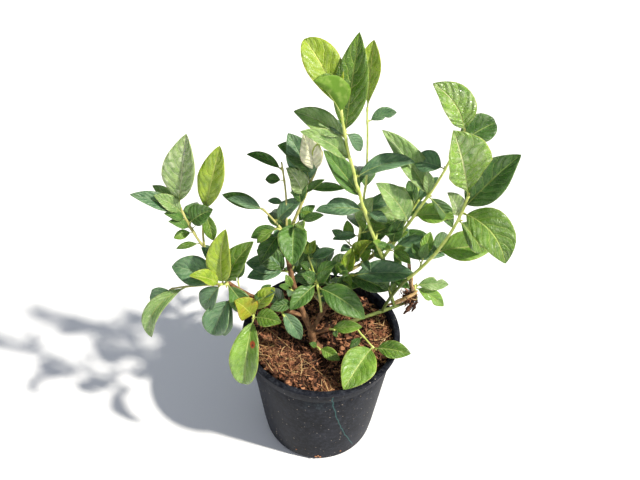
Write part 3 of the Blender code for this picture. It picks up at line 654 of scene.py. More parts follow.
def add_crumb(batch):
    """Adds one uneven crumb, half sunk into the mix."""
    x, y, _ = on_the_mix(0.15)
    size = rng.uniform(0.5, 1.5) if rng.random() < 0.8 else rng.uniform(1.5, 3.0)
    verts = bmesh.ops.create_icosphere(batch, subdivisions=1, radius=size * MM)["verts"]
    bmesh.ops.scale(batch, vec=(rng.uniform(0.7, 1.3), rng.uniform(0.7, 1.3), 0.7), verts=verts)
    for vert in verts:
        vert.co *= rng.uniform(0.75, 1.2)
    bmesh.ops.translate(batch, vec=Vector((x, y, soil_height(x, y) + size * 0.3)) * MM, verts=verts)
    paint(verts, rng.choice((TAN, BROWN, BROWN, PEAT, PEAT)))


crumb_bm = scatter(CRUMBS, add_crumb)
batch = new_batch()
for turn, height, size in FOOT_CRUMBS:
    verts = bmesh.ops.create_icosphere(batch, subdivisions=1, radius=size * MM)["verts"]
    bmesh.ops.scale(batch, vec=(1.4, 0.8, 0.8), verts=verts)
    on_wall = direction(turn, 0) * (wall_radius(height) - 0.2) + Vector((0, 0, height))
    bmesh.ops.translate(batch, vec=on_wall * MM, verts=verts)
    paint(verts, TAN)
pour(batch, crumb_bm)
make_piece("mix_crumbs", crumb_bm, coir[:STRAW], sharp=30)

# %% [markdown]
# ## Flakes
# Flakes of husk are thin slabs with one end narrower than the other, tilted a little every way. They
# are the largest bits on the mix, so fewer of them are needed.

# %% Flakes
FLAKES = 1100
FLAKE_THICKNESS, FLAKE_RAISED = 0.6, 0.9


def add_flake(batch):
    """Adds one flake that lies on the mix."""
    x, y, _ = on_the_mix(0.3)
    verts = bmesh.ops.create_cube(batch, size=1)["verts"]
    long, wide = rng.uniform(3, 10), rng.uniform(1.2, 3.4)
    for vert in verts:
        narrowed = wide * (1 - 0.5 * vert.co.x)
        vert.co = Vector((vert.co.x * long, vert.co.y * narrowed, vert.co.z * FLAKE_THICKNESS))
        vert.co *= rng.uniform(0.85, 1.15)
    tilt = Quaternion(direction(rng.uniform(0, 360), 0), rng.gauss(0, 0.4)).to_matrix()
    bmesh.ops.rotate(batch, matrix=tilt @ Matrix.Rotation(rng.uniform(0, 6.3), 3, "Z"), verts=verts)
    bmesh.ops.scale(batch, vec=(MM, MM, MM), verts=verts)
    bmesh.ops.translate(batch, vec=Vector((x, y, soil_height(x, y) + FLAKE_RAISED)) * MM, verts=verts)
    paint(verts, rng.choice((TAN, TAN, BROWN, PEAT)))


make_piece("mix_flakes", scatter(FLAKES, add_flake), coir[:STRAW], sharp=30)

# %% [markdown]
# ## How the plant grows
# Every limb is one row: what it grows on and how far along, its heading, rise and length, the turn
# of both from foot to tip, and its radius at foot and tip. So the plant is grown and not placed,
# and one number bends or turns a whole bough with all that it bears. Old wood, the shoots that
# carry the foliage and the thin twigs between them are kept apart, because each is made its own way.

# %% Limb rows
Limb = namedtuple("Limb", "on share heading rise length sweep curl foot tip")

WOOD = {
    "trunk": Limb(None, 0, 172, 65, 28, -8, 23, 3.7, 3.3),
    "right_bough": Limb("trunk", 0.85, 18, 8, 119, 6, -3, 2.6, 1.9),
    "old_snag": Limb("right_bough", 0.97, 167, 76, 62, 7, 5, 2.8, 1.6),
    "right_riser": Limb("right_bough", 0.78, 154, 68, 65, 3, 9, 2.3, 2.0),
    "far_riser": Limb("right_bough", 0.66, -50, 76, 69, 18, -13, 2.1, 1.9),
    "back_bough": Limb("trunk", 1, 47, 51, 85, 4, -19, 2.4, 1.8),
    "up_bough": Limb("trunk", 1, 165, 68, 109, -48, 6, 3.0, 2.1),
    "left_bough": Limb("up_bough", 0.2, -173, 26, 94, 7, 25, 2.3, 1.7),
    "left_riser": Limb("left_bough", 1, 157, 64, 36, -6, -12, 1.7, 1.5),
    "back_left_bough": Limb("back_bough", 0.35, 122, -13, 84, -10, 12, 1.9, 1.5),
    "back_right_bough": Limb("back_bough", 0.85, 30, 10, 60, 15, 5, 1.8, 1.5),
}
SHOOTS = {
    "top_shoot": Limb("right_riser", 1, -170, 69, 190, 42, 6, 2.0, 1.2),
    "right_shoot": Limb("right_riser", 1, 12, 63, 165, -57, 14, 1.9, 1.1),
    "far_shoot": Limb("far_riser", 1, -15, 58, 124, -41, 26, 1.9, 1.3),
    "back_shoot": Limb("back_bough", 1, 46, 79, 166, 84, 4, 1.7, 1.0),
    "centre_shoot": Limb("up_bough", 1, 33, 65, 91, -6, 3, 1.9, 1.2),
    "left_shoot": Limb("left_riser", 1, 172, 58, 54, -14, 18, 1.4, 1.0),
    "left_cluster": Limb("left_bough", 0.97, -127, 34, 14, 0, 0, 1.4, 1.1),
    "front_cluster": Limb("left_bough", 0.62, -91, -30, 20, 0, 0, 1.4, 1.1),
    "under_cluster": Limb("left_bough", 0.30, -60, -20, 10, 0, 0, 1.2, 1.0),
    "middle_shoot": Limb("back_bough", 0.25, 149, 88, 71, -18, -29, 1.5, 0.9),
    "middle_spur": Limb("back_bough", 0.80, -35, 30, 12, 0, 0, 1.4, 1.1),
    "inner_spur": Limb("up_bough", 0.70, 200, 25, 6, 0, 0, 1.4, 1.1),
    "lower_spur": Limb("up_bough", 0.38, 250, 30, 10, 0, 0, 1.3, 1.0),
    "riser_spur": Limb("right_riser", 0.75, 10, 20, 12, 0, 0, 1.3, 1.0),
    "riser_foot_spur": Limb("right_riser", 0.2, 260, 55, 12, 0, 0, 1.2, 0.9),
    "rim_spur": Limb("right_bough", 1, 120, 68, 17, 0, 0, 1.5, 1.1),
    "front_shoot": Limb("right_bough", 0.38, -64, -12, 37, 21, 0, 1.4, 1.0),
    "foot_sprout": Limb("trunk", 0.25, -60, 20, 12, 0, 0, 1.2, 0.9),
    "foot_spur": Limb("right_bough", 0.15, -40, 30, 10, 0, 0, 1.1, 0.9),
    "low_back_shoot": Limb("back_bough", 0.5, 95, 5, 40, 10, 5, 1.5, 1.0),
    "back_left_shoot": Limb("back_left_bough", 1, 100, 0, 42, 10, -5, 1.5, 1.0),
    "back_right_shoot": Limb("back_right_bough", 1, 60, 25, 55, 15, -10, 1.5, 1.0),
}
TWIGS = {
    "thin_twig": Limb("centre_shoot", 0.04, 80, 74, 76, 46, 0, 1.3, 0.9),
    "side_twig": Limb("centre_shoot", 0.06, 150, 50, 36, 20, -5, 1.4, 1.0),
    "left_inner_twig": Limb("left_shoot", 0.08, 100, 80, 47, -54, -12, 1.3, 0.9),
    "hanging_twig": Limb("left_cluster", 0.8, 190, 6, 46, 0, -12, 1.2, 0.9),
    "drop_twig": Limb("left_cluster", 0.1, 290, -60, 14, 0, 0, 1.1, 0.9),
    "behind_twig": Limb("right_shoot", 0.15, 40, 66, 50, -30, 0, 1.2, 0.9),
}
LIMBS = {**WOOD, **SHOOTS, **TWIGS}
print("limbs:", len(LIMBS), "length of wood in mm:", round(sum(limb.length for limb in WOOD.values())))

# %% [markdown]
# ## Centre lines
# A limb is walked in short steps from its foot, which lies on the line of its parent, and turns a
# little with each step. A tube needs more points than that, so a smooth curve is laid through them.

# %% Walk the limbs
LIMB_STEP = 9


def walk(start, limb):
    """Centre line of a limb: a point every few mm from its foot, with the radius there."""
    steps = max(3, round(limb.length / LIMB_STEP))
    line = [(Vector(start), limb.foot)]
    for i in range(steps):
        t = (i + 0.5) / steps
        step = direction(limb.heading + limb.sweep * t, limb.rise + limb.curl * t)
        radius = limb.foot + (limb.tip - limb.foot) * (i + 1) / steps
        line.append((line[-1][0] + step * limb.length / steps, radius))
    return line


def along(line, share):
    """Point at a share of the length of a centre line."""
    place = min(max(share, 0), 1) * (len(line) - 1)
    i = min(int(place), len(line) - 2)
    return line[i][0].lerp(line[i + 1][0], place - i)


def smooth(line, spacing):
    """The same line with more points, on a curve that passes through its own."""
    knots = [p for p, _ in line]
    knots = [knots[0] * 2 - knots[1], *knots, knots[-1] * 2 - knots[-2]]
    finer = []
    for i in range(len(line) - 1):
        a, b, c, d = knots[i:i + 4]
        steps = max(1, round((c - b).length / spacing))
        for k in range(steps):
            t = k / steps
            bent = (c - a) * t + (2 * a - 5 * b + 4 * c - d) * t ** 2 + (3 * b - a - 3 * c + d) * t ** 3
            finer.append((b + bent / 2, line[i][1] + (line[i + 1][1] - line[i][1]) * t))
    return [*finer, line[-1]]


lines = {}
for name, limb in LIMBS.items():
    foot = along(lines[limb.on], limb.share) if limb.on else Vector((*TRUNK_FOOT, SOIL_LEVEL))
    lines[name] = walk(foot, limb)
print("highest limb tip in mm:", round(max(line[-1][0].z for line in lines.values())))

# %% [markdown]
# ## Bark
# Old blueberry wood is warm brown, with thin bark that splits along the limb and peels in strips;
# last year's wood on the right bough is still green. The relief is real: each ring of the tube is
# pushed in and out by noise that is stretched along the limb, a limb swells where another leaves
# it, and the trunk flares into the mix.

# %% Bark shape
BARK_SIDES = 20
BARK_RING = 1.3
BARK_RELIEF = 0.11
FISSURE_SPREAD, FISSURE_RUN = 1.7, 9
WAVE, WAVE_RUN = 0.05, 6
FORK_SWELLING, FORK_REACH = 0.22, 5
FLARE, FLARE_HEIGHT = 0.75, 5
BROWN_BARK, GREEN_BARK, STRAW_BARK, DEAD_BARK = range(4)
KIND_OF_BARK = {"right_bough": GREEN_BARK, "right_riser": GREEN_BARK, "far_riser": GREEN_BARK,
                "left_riser": STRAW_BARK, "back_left_bough": STRAW_BARK, "back_right_bough": STRAW_BARK,
                "old_snag": DEAD_BARK}
GREEN_SLENDER = 0.8
TRUNK_SUNK = 3


def bark_shape(name, line):
    """How much a limb's radius is scaled at each ring and turn: fissures, forks and root flare."""
    seed = sum(map(ord, name))
    forks = [along(lines[name], limb.share) for limb in LIMBS.values()
             if limb.on == name and limb.share > 0.02]

    def scale(row, turn):
        point = line[row][0]
        around = Vector((math.cos(turn), math.sin(turn), 0)) * FISSURE_SPREAD
        fissure = noise.fractal(around + Vector((seed, 0, row * BARK_RING / FISSURE_RUN)), 1.0, 2.0, 3)
        swelling = sum(math.exp(-((point - fork).length / FORK_REACH) ** 2) for fork in forks)
        flare = FLARE * math.exp(-(point.z - SOIL_LEVEL) / FLARE_HEIGHT) if name == "trunk" else 0
        wave = WAVE * noise.noise(Vector((seed, row * BARK_RING / WAVE_RUN, 0)))
        return 1 + BARK_RELIEF * fissure + FORK_SWELLING * min(swelling, 1) + flare + wave

    return scale


bark_bm = new_batch()
for name in WOOD:
    line = smooth(lines[name], BARK_RING)
    kind = KIND_OF_BARK.get(name, BROWN_BARK)
    if kind == GREEN_BARK:
        line = [(point, radius * GREEN_SLENDER) for point, radius in line]
    if name == "trunk":
        line.insert(0, (line[0][0] - Vector((0, 0, TRUNK_SUNK)), line[0][1]))
    limb_bm = new_batch()
    paint(add_tube(limb_bm, line, BARK_SIDES, bark_shape(name, line)), kind)
    pour(limb_bm, bark_bm)
print("bark faces:", len(bark_bm.faces))

# %% [markdown]
# ## Bark colours
# Four kinds of wood share one recipe: a pale and a dark tone split by fissures that run along the
# limb, and fine relief from the same pattern. The right bough starts brown at the trunk and turns
# green within a few centimetres, which a blend from left to right gives.

# %% Bark materials
PATCH_SIZE = 6
GREEN_FROM, GREEN_TO = 0.012, 0.042


def bark_material(name, dark, middle, pale, roughness, young=None):
    """Bark with lengthwise fissures; young holds the two greens that it turns to at the right."""
    made, tree, shader = finish_material(name, Roughness=roughness, IOR=1.45)
    coordinates = add(tree, "TexCoord")
    lie = add(tree, "Mapping", {"Vector": coordinates.outputs["UV"], "Scale": (7.0, 26.0, 1.0)})
    fissures = add(tree, "TexNoise", {"Vector": lie.outputs["Vector"], "Scale": 1.0, "Detail": 6.0,
                                      "Roughness": 0.65, "Distortion": 0.6})
    patches = add(tree, "TexNoise", {"Vector": coordinates.outputs["Object"],
                                     "Scale": 1 / (PATCH_SIZE * MM), "Detail": 4.0})
    both = add(tree, "Mix", {0: 0.45, 2: fissures.outputs["Fac"], 3: patches.outputs["Fac"]},
               data_type="FLOAT")
    tone = add(tree, "ValToRGB", {"Fac": both.outputs[0]},
               stops=((0.36, dark), (0.64, pale), (0.5, middle)))
    colour = tone.outputs["Color"]
    if young:
        axes = add(tree, "SeparateXYZ", {"Vector": coordinates.outputs["Object"]})
        greening = add(tree, "MapRange", {"Value": axes.outputs["X"], "From Min": GREEN_FROM,
                                          "From Max": GREEN_TO})
        fresh = add(tree, "ValToRGB", {"Fac": both.outputs[0]},
                    stops=((0.35, young[0]), (0.65, young[1])))
        colour = add(tree, "Mix", {0: greening.outputs["Result"], 6: colour, 7: fresh.outputs["Color"]},
                     data_type="RGBA").outputs[2]
    tree.links.new(colour, shader.inputs["Base Color"])
    relief = add(tree, "Bump", {"Height": both.outputs[0], "Strength": 0.7, "Distance": 0.0007})
    tree.links.new(relief.outputs["Normal"], shader.inputs["Normal"])
    return made


BARKS = [bark_material("old blueberry bark", "#3f2a1c", "#7a5638", "#a07c58", 0.85),
         bark_material("green one-year wood", "#3f2a1c", "#7d5234", "#a5774c", 0.6, ("#48581c", "#73823a")),
         bark_material("straw-coloured wood", "#7d6a44", "#a8975f", "#c9bd8c", 0.65),
         bark_material("dead fibrous wood", "#33251b", "#6d5239", "#b09a78", 0.95)]
bark = make_piece("bark_limbs", bark_bm, BARKS)
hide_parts(*WOOD)

# %% [markdown]
# ## Leaf rows
# Leaves are rows too: millimetres along the stem, heading, rise and reach, then a tone, the width as
# a share of the reach, and the droop. Blueberry leaves are elliptical, alternate and nearly
# stalkless, and their greens differ much: young ones at the tips are yellow-green, older ones deep
# or bluish, and some are pale with the sheen of their wax. Where needed a row also says a lean of
# the widest place towards the tip, a fold, a rounder or narrower outline, a roll about the midrib or
# a bite out of the margin.

# %% Leaf table
Bite = namedtuple("Bite", "u side depth width", defaults=(0.5, 0.08))
Leaf = namedtuple("Leaf", "at heading rise reach tone share droop lean fold fullness roll bite",
                  defaults=(0.40, 26, 0.9, 25, 0.85, 0, None))
LEAVES = {
    "top_shoot": (
        Leaf(166, 53, 82, 80, "grass", 0.36, 0, fold=21),
        Leaf(190, 144, 53, 60, "young", 0.50, 25, 1.4, 26, 0.6),
        Leaf(186, 213, 55, 44, "grass", 0.74, 20, fold=68, roll=72),
        Leaf(160, 169, 24, 48, "pale", 0.42, roll=-25), Leaf(135, 203, 40, 58, "pale", 0.32, fold=33),
        Leaf(160, 153, 36, 22, "blue", 0.5), Leaf(167, 15, -53, 25, "blue", 0.5),
        Leaf(113, 16, 9, 56, "blue", 0.30, 55, fold=35), Leaf(87, 171, 53, 58, "mid", 0.36, 10),
        Leaf(71, 188, 4, 46, "blue", bite=Bite(0.75, 1, 0.4)), Leaf(68, 344, -15, 22, "blue", 0.5),
        Leaf(100, 89, -5, 44, "mid")),
    "back_shoot": (
        Leaf(163, 85, 82, 61, "young", 0.34, 5, 1.5, 30),
        Leaf(152, 14, 15, 28, "blue", 0.44, fold=43, bite=Bite(0.5, 1, 0.5)),
        Leaf(41, 335, 77, 42, "pale", 0.45), Leaf(31, 200, 6, 29, "blue", 0.34, 40),
        Leaf(60, 13, 22, 37, "blue"), Leaf(48, 5, 18, 42, "pale", 0.5),
        Leaf(14, 10, 42, 47, "deep", 0.42), Leaf(3, 338, 62, 34, "young", 0.45, fold=49),
        Leaf(84, 85, -10, 45, "mid"), Leaf(38, 100, -15, 45, "deep"), Leaf(18, 60, -5, 45, "mid")),
    "right_shoot": (
        Leaf(165, 170, 53, 51, "glossy", 0.58, 50, fold=31),
        Leaf(151, 24, 24, 37, "deep", 0.72, fold=31, fullness=0.6), Leaf(123, 150, -5, 30, "blue", 0.8),
        Leaf(89, 159, 50, 75, "pale", 0.33, 15, fold=33), Leaf(87, 213, 77, 32, "pale", 0.34),
        Leaf(88, 345, -47, 42, "deep", 0.36),
        Leaf(60, 345, 12, 38, "fresh", 0.58, 35, bite=Bite(0.82, 1, 0.35)),
        Leaf(17, 349, 0, 53, "blue", 0.5, 25), Leaf(50, 193, 56, 62, "pale", 0.42),
        Leaf(19, 330, 78, 39, "deep", 0.4)),
    "behind_twig": (Leaf(48, 20, 55, 30, "blue", 0.4), Leaf(42, 100, 20, 30, "deep", 0.4)),
    "far_shoot": (
        Leaf(124, 190, 70, 67, "glossy", 0.60, 10, 1.35, 30, 0.85), Leaf(98, 205, 62, 36, "waxy", 0.42),
        Leaf(111, 3, 57, 63, "deep", 0.53, 5, fold=29),
        Leaf(105, 315, -26, 55, "grass", 0.64, 90, fold=23), Leaf(96, 348, -50, 42, "grass", 0.6),
        Leaf(50, 355, 14, 51, "fresh", 0.58, 20), Leaf(40, 60, -6, 46, "deep")),
    "centre_shoot": (
        # The first leaf has a pale cream tone, a painted sheen that stands in for sun glancing off it.
        Leaf(76, 203, 76, 43, "painted_sheen", 0.48, 20), Leaf(85, 268, 73, 27, "young"),
        Leaf(73, 166, 38, 42, "deep", 0.55, 60), Leaf(65, 152, 63, 50, "blue", 0.58),
        Leaf(40, 120, 75, 36, "deep", 0.4), Leaf(50, 194, 65, 38, "waxy", 0.5),
        Leaf(53, 341, 50, 28, "mid", 0.25, fold=39), Leaf(58, 4, 2, 34, "mid", 0.28),
        Leaf(34, 332, 9, 18, "fresh", 0.25), Leaf(23, 272, -23, 44, "mid", 0.64, 50, fold=29),
        Leaf(45, 100, -20, 42, "mid"), Leaf(12, 120, -10, 45, "deep")),
    "thin_twig": (
        Leaf(68, 165, 17, 36, "deep", 0.28, 40, fold=37), Leaf(58, 170, -5, 18, "deep", 0.6),
        Leaf(35, 168, 2, 18, "blue")),
    "side_twig": (
        Leaf(34, 170, 16, 42, "mid", 0.34, 20), Leaf(34, 185, 24, 36, "blue", 0.3),
        Leaf(12, 188, -22, 30, "mid", 0.42), Leaf(18, 9, 46, 36, "blue", 0.45),
        Leaf(8, 230, -35, 38, "deep", 0.5)),
    "left_shoot": (
        Leaf(54, 22, 78, 68, "waxy", 0.44, 0, 1.0, 38), Leaf(50, 161, 35, 31, "pale", 0.36),
        Leaf(43, 197, 50, 33, "pale", 0.42), Leaf(44, 191, 32, 48, "blue", 0.32),
        Leaf(36, 207, 39, 23, "mid"), Leaf(27, 208, 40, 24, "mid"), Leaf(33, 2, 36, 28, "deep", 0.75),
        Leaf(10, 192, -8, 23, "grass", 0.3), Leaf(30, 95, -5, 40, "mid")),
    "left_inner_twig": (
        Leaf(37, 5, 74, 69, "young", 0.35, 0, 1.0, 24, 0.75), Leaf(38, 302, -66, 30, "grass", 0.42)),
    "left_cluster": (
        Leaf(9, 33, 83, 63, "young", 0.38, fold=29, fullness=0.74), Leaf(6, 5, 61, 59, "grass", fold=29),
        Leaf(14, 222, 46, 40, "young", 0.36, fold=33), Leaf(12, 193, -60, 38, "blue", 0.56),
        Leaf(4, 341, -60, 42, "mid", 0.5)),
    "drop_twig": (Leaf(14, 217, -60, 46, "blue", 0.6, 30, fold=42), Leaf(13, 222, -76, 50, "blue", 0.4)),
    "hanging_twig": (
        Leaf(32, 206, -54, 70, "pale", 0.24, 95, fold=33), Leaf(45, 186, -46, 32, "blue", 0.6),
        Leaf(5, 171, 19, 44, "blue", 0.66, 60)),
    "front_cluster": (
        Leaf(14, 9, 56, 37, "young", 0.46, 26, 1.2, 25, 0.7), Leaf(19, 336, 15, 31, "grass", 0.6),
        Leaf(19, 203, 61, 33, "turning", 0.74, 20, fold=20),
        Leaf(20, 256, -61, 70, "spotted", 0.43, 45, 1.0, 36, 0.65)),
    "under_cluster": (Leaf(2, 333, -55, 40, "blue", 0.42), Leaf(7, 110, -9, 45, "deep")),
    "middle_shoot": (
        Leaf(70, 141, 72, 20, "fresh", 0.5, fold=43), Leaf(71, 32, 66, 19, "young", 0.5, fold=43),
        Leaf(67, 10, 24, 27, "blue"), Leaf(49, 11, 37, 27, "mid", 0.45),
        Leaf(38, 345, 62, 28, "mid", 0.4), Leaf(40, 195, 48, 23, "deep", 0.6),
        Leaf(40, 226, -17, 38, "mid", 0.5), Leaf(35, 329, -13, 56, "mid", 0.5, 50),
        Leaf(45, 90, -10, 42, "deep")),
    "middle_spur": (
        Leaf(11, 352, 12, 62, "blue", 0.40, 20, fold=29), Leaf(2, 347, -14, 46, "deep", 0.46),
        Leaf(2, 60, 74, 33, "young", 0.44, fold=40)),
    "inner_spur": (
        Leaf(5, 174, 8, 40, "blue", 0.5), Leaf(4, 162, 30, 36, "deep", 0.6),
        Leaf(5, 193, -3, 38, "blue", 0.45)),
    "lower_spur": (Leaf(10, 200, 0, 26, "deep", 0.5),),
    "riser_spur": (Leaf(10, 70, 10, 36, "mid"),),
    "riser_foot_spur": (Leaf(12, 278, 75, 25, "grass", 0.3), Leaf(9, 186, 84, 26, "mid", 0.3)),
    "rim_spur": (
        Leaf(16, 5, 0, 37, "pale", 0.42, bite=Bite(0.6, -1, 0.6)),
        Leaf(14, 348, -31, 40, "fresh", 0.42, bite=Bite(0.5, 1, 0.5))),
    "front_shoot": (
        Leaf(35, 237, -12, 55, "fresh", 0.66, 30, fold=24), Leaf(37, 346, 7, 38, "grass", 0.5),
        Leaf(20, 222, -20, 19, "deep", 0.45)),
    "foot_sprout": (Leaf(7, 328, -3, 27, "fresh", 0.5), Leaf(9, 180, 40, 13, "mid", 0.5)),
    "foot_spur": (Leaf(3, 353, 17, 34, "fresh", 0.42), Leaf(9, 280, 20, 14, "mid", 0.45)),
    "low_back_shoot": (
        Leaf(10, 20, 0, 42, "mid"), Leaf(14, 160, -5, 44, "deep"), Leaf(22, 286, 24, 36, "mid"),
        Leaf(28, 60, -10, 45, "fresh"), Leaf(34, 130, -15, 45, "mid"), Leaf(38, 90, -10, 42, "deep")),
    "back_left_shoot": (
        Leaf(8, 40, 0, 38, "mid"), Leaf(14, 184, -5, 40, "fresh"), Leaf(22, 328, 5, 34, "mid"),
        Leaf(28, 150, -10, 40, "deep"), Leaf(32, 60, -5, 40, "mid"), Leaf(36, 190, -5, 36, "grass"),
        Leaf(41, 100, -5, 44, "young")),
    "back_right_shoot": (
        Leaf(8, 340, 0, 45, "deep"), Leaf(14, 124, -10, 46, "mid"), Leaf(22, 268, 5, 42, "blue"),
        Leaf(30, 52, -15, 48, "mid"), Leaf(36, 196, 5, 40, "fresh"), Leaf(42, 340, -5, 42, "mid"),
        Leaf(50, 110, -10, 42, "grass"), Leaf(54, 50, 5, 42, "young")),
}
print("leaves:", sum(len(rows) for rows in LEAVES.values()))

# %% [markdown]
# ## Finer twigs
# Between the big leaves grow finer twigs with small leaves. A seeded rule walks along a shoot and
# sets a twig every few millimetres, each turned by about the golden angle from the one before, and
# gives it three leaves. They stay in the heart of the crown, where the photograph is dense, and at
# the back, where it shows nothing.

# %% Small twigs
# For each stem: the millimetres between which its small twigs sit, and how many they are.
SPRIGS = {"centre_shoot": (6, 30, 2), "up_bough": (40, 90, 2), "back_bough": (50, 80, 1),
          "right_riser": (30, 62, 1), "top_shoot": (10, 40, 2), "back_shoot": (8, 50, 2),
          "right_shoot": (4, 30, 1), "far_shoot": (6, 30, 1), "far_riser": (25, 60, 1),
          "middle_shoot": (14, 60, 2), "left_bough": (50, 90, 2), "left_shoot": (6, 30, 1),
          "left_riser": (6, 30, 1), "back_left_bough": (30, 80, 4), "back_right_bough": (12, 56, 4),
          "low_back_shoot": (6, 36, 3), "back_left_shoot": (6, 40, 4), "back_right_shoot": (8, 52, 4)}
SPRIG_LENGTH = (7, 15)
SPRIG_FOOT, SPRIG_TIP = 0.8, 0.5
SPRIG_LEAF = (14, 27)
SPRIG_TONES = ("mid", "deep", "blue", "fresh")
SPRIG_LEAF_TURNS = (60, -65, 8)
GOLDEN_ANGLE = 137.5
sprig_rng = random.Random(21)


def sprig_leaf(sprig, k, side):
    """Row of the small leaf k of a small twig, turned to one side of it."""
    return Leaf(sprig.length * (0.5 + 0.5 * k / 2), sprig.heading + side + sprig_rng.gauss(0, 12),
                sprig.rise + sprig_rng.gauss(-5, 18), sprig_rng.uniform(*SPRIG_LEAF),
                sprig_rng.choice(SPRIG_TONES), sprig_rng.uniform(0.36, 0.5))


for parent, (start, end, count) in SPRIGS.items():
    turn = sprig_rng.uniform(0, 360)
    for i in range(count):
        place = start + (end - start) * (i + sprig_rng.uniform(0.1, 0.6)) / count
        turn += GOLDEN_ANGLE + sprig_rng.gauss(0, 15)
        sprig = Limb(parent, place / LIMBS[parent].length, turn, sprig_rng.uniform(15, 60),
                     sprig_rng.uniform(*SPRIG_LENGTH), sprig_rng.uniform(-30, 30),
                     sprig_rng.uniform(-10, 20), SPRIG_FOOT, SPRIG_TIP)
        name = f"{parent}_sprig_{i}"
        TWIGS[name] = LIMBS[name] = sprig
        lines[name] = walk(along(lines[parent], sprig.share), sprig)
        LEAVES[name] = tuple(sprig_leaf(sprig, k, side) for k, side in enumerate(SPRIG_LEAF_TURNS))
print("thin twigs:", len(TWIGS), "leaves with theirs:", sum(len(rows) for rows in LEAVES.values()))

# %% [markdown]
# ## Where a leaf lies
# A leaf starts on the line of its stem and runs along its heading and rise, arched by its droop. At
# each point of the midrib a side and a face direction say how the blade lies there. The upper side
# is turned to the light, as leaves turn theirs, and then rolled and twisted a little.

# %% Leaf rule
LIGHT = direction(-95, 55)


def leaf_row(line, stem, leaf, t, twist=0, curl=0):
    """Midrib point of a leaf at share t of its reach, with its side and face directions."""
    base = along(line, leaf.at / stem.length)
    axis = direction(leaf.heading, leaf.rise)
    lift = axis.cross(direction(leaf.heading + 90, 0))
    arch = leaf.reach * math.tan(math.radians(leaf.droop) / 4) / 2
    middle = base + axis * leaf.reach * t + lift * arch * 4 * t * (1 - t)
    run = axis * leaf.reach + lift * arch * 4 * (1 - 2 * t)
    side = LIGHT.cross(run).normalized()
    side.rotate(Quaternion(run, math.radians(leaf.roll + twist * t)))
    face = run.cross(side).normalized()
    return middle - face * leaf.reach * curl * t ** 3, side, face


# %% [markdown]
# ## Leaf shape
# A blade is a flat grid laid along its midrib, with each row of it set across. Its width follows a
# sine that is fullest where the leaf's lean says, less a bite where it has one, and the two halves
# fold up from the midrib and flatten towards the margin. Small waves of the margin, a slight twist
# and a curled tip keep any two leaves from looking alike.

# %% Blade rule
PETIOLE_LENGTH = 4
BLADE_ROWS, BLADE_COLUMNS = 16, 8
SMALL_LEAF, SMALL_ROWS, SMALL_COLUMNS = 26, 8, 4
TIP_CURL = (0, 0.06)
FLATTEST, STEEP_FOLD = 0.94, 50


def half_width(leaf, u, side):
    """Half the width of a blade at share u of its length, on one side."""
    half = leaf.reach * leaf.share / 2 * max(math.sin(math.pi * u ** leaf.lean), 0) ** leaf.fullness
    bite = leaf.bite
    if bite and bite.side == side:
        half *= 1 - bite.depth * math.exp(-((u - bite.u) / bite.width) ** 2)
    return half


def add_blade(bm, line, stem, leaf, rng):
    """Adds a leaf's upper side to a bmesh, and returns its vertices."""
    columns, rows = (SMALL_COLUMNS, SMALL_ROWS) if leaf.reach < SMALL_LEAF else (BLADE_COLUMNS, BLADE_ROWS)
    verts = bmesh.ops.create_grid(bm, x_segments=columns, y_segments=rows, size=0.5, calc_uvs=True)["verts"]
    start = PETIOLE_LENGTH / leaf.reach
    twist, curl, phase = rng.gauss(0, 9), rng.uniform(*TIP_CURL), (rng.uniform(0, 6.3), rng.uniform(0, 6.3))
    waves, height = rng.uniform(1.5, 3.2), rng.uniform(0.03, 0.11)
    fold = math.radians(leaf.fold + rng.uniform(-3, 6))
    spread = max(math.cos(fold), FLATTEST * (leaf.fold < STEEP_FOLD))
    for vert in verts:
        row = vert.co.y + 0.5
        u = 0.35 * row + 0.65 * (1 - math.cos(math.pi * row)) / 2
        across = vert.co.x * 2
        middle, side, face = leaf_row(line, stem, leaf, start + (1 - start) * u, twist, curl)
        left = across < 0
        half = max(half_width(leaf, u, -1 if left else 1), 0.5 * (1 - u))
        a = abs(across)
        wave = height * a * a * math.sin(2 * math.pi * waves * u + phase[left]) * math.sin(math.pi * u)
        raised = half * (spread * math.tan(fold) * a * (1.3 - 0.3 * a) + wave)
        vert.co = (middle - side * half * across * spread + face * raised) * MM
    return verts


# %% [markdown]
# ## Leaves on their stems
# The blades of one stem are one batch. Each leaf also has a rib: its short stalk, which runs on under
# the blade as the raised lower side of the midrib and is gone a little past the middle.

# %% Grow the leaves
TONES = ("young", "fresh", "grass", "mid", "deep", "blue", "pale", "waxy", "glossy", "turning", "spotted",
         "painted_sheen")
RIB_ROWS, RIB_SIDES, RIB_SHARE = 9, 6, 0.6
RIB_SUNK, RIB_RADIUS, RIB_THINNEST = 0.35, 0.75, 0.1
PLAIN_REACH = 40
leaf_rng = random.Random(4)


def rib_line(line, stem, leaf):
    """Centre line of a leaf's stalk and midrib, thinning along the blade's lower side."""
    rib = []
    for k in range(RIB_ROWS):
        t = RIB_SHARE * k / (RIB_ROWS - 1)
        middle, _, face = leaf_row(line, stem, leaf, t)
        sunk = RIB_SUNK * min(t * leaf.reach / PETIOLE_LENGTH, 1)
        thick = RIB_RADIUS * (1 - t) ** 2 * min(leaf.reach / PLAIN_REACH, 1) + RIB_THINNEST
        rib.append((middle - face * sunk, thick))
    return rib


blade_bm, rib_bm = new_batch(), new_batch()
for name, rows in LEAVES.items():
    blade_batch, rib_batch = new_batch(), new_batch()
    for leaf in rows:
        verts = add_blade(blade_batch, lines[name], LIMBS[name], leaf, leaf_rng)
        paint(verts, TONES.index(leaf.tone))
        add_tube(rib_batch, rib_line(lines[name], LIMBS[name], leaf), RIB_SIDES)
    pour(blade_batch, blade_bm)
    pour(rib_batch, rib_bm)
print("blade faces:", len(blade_bm.faces))

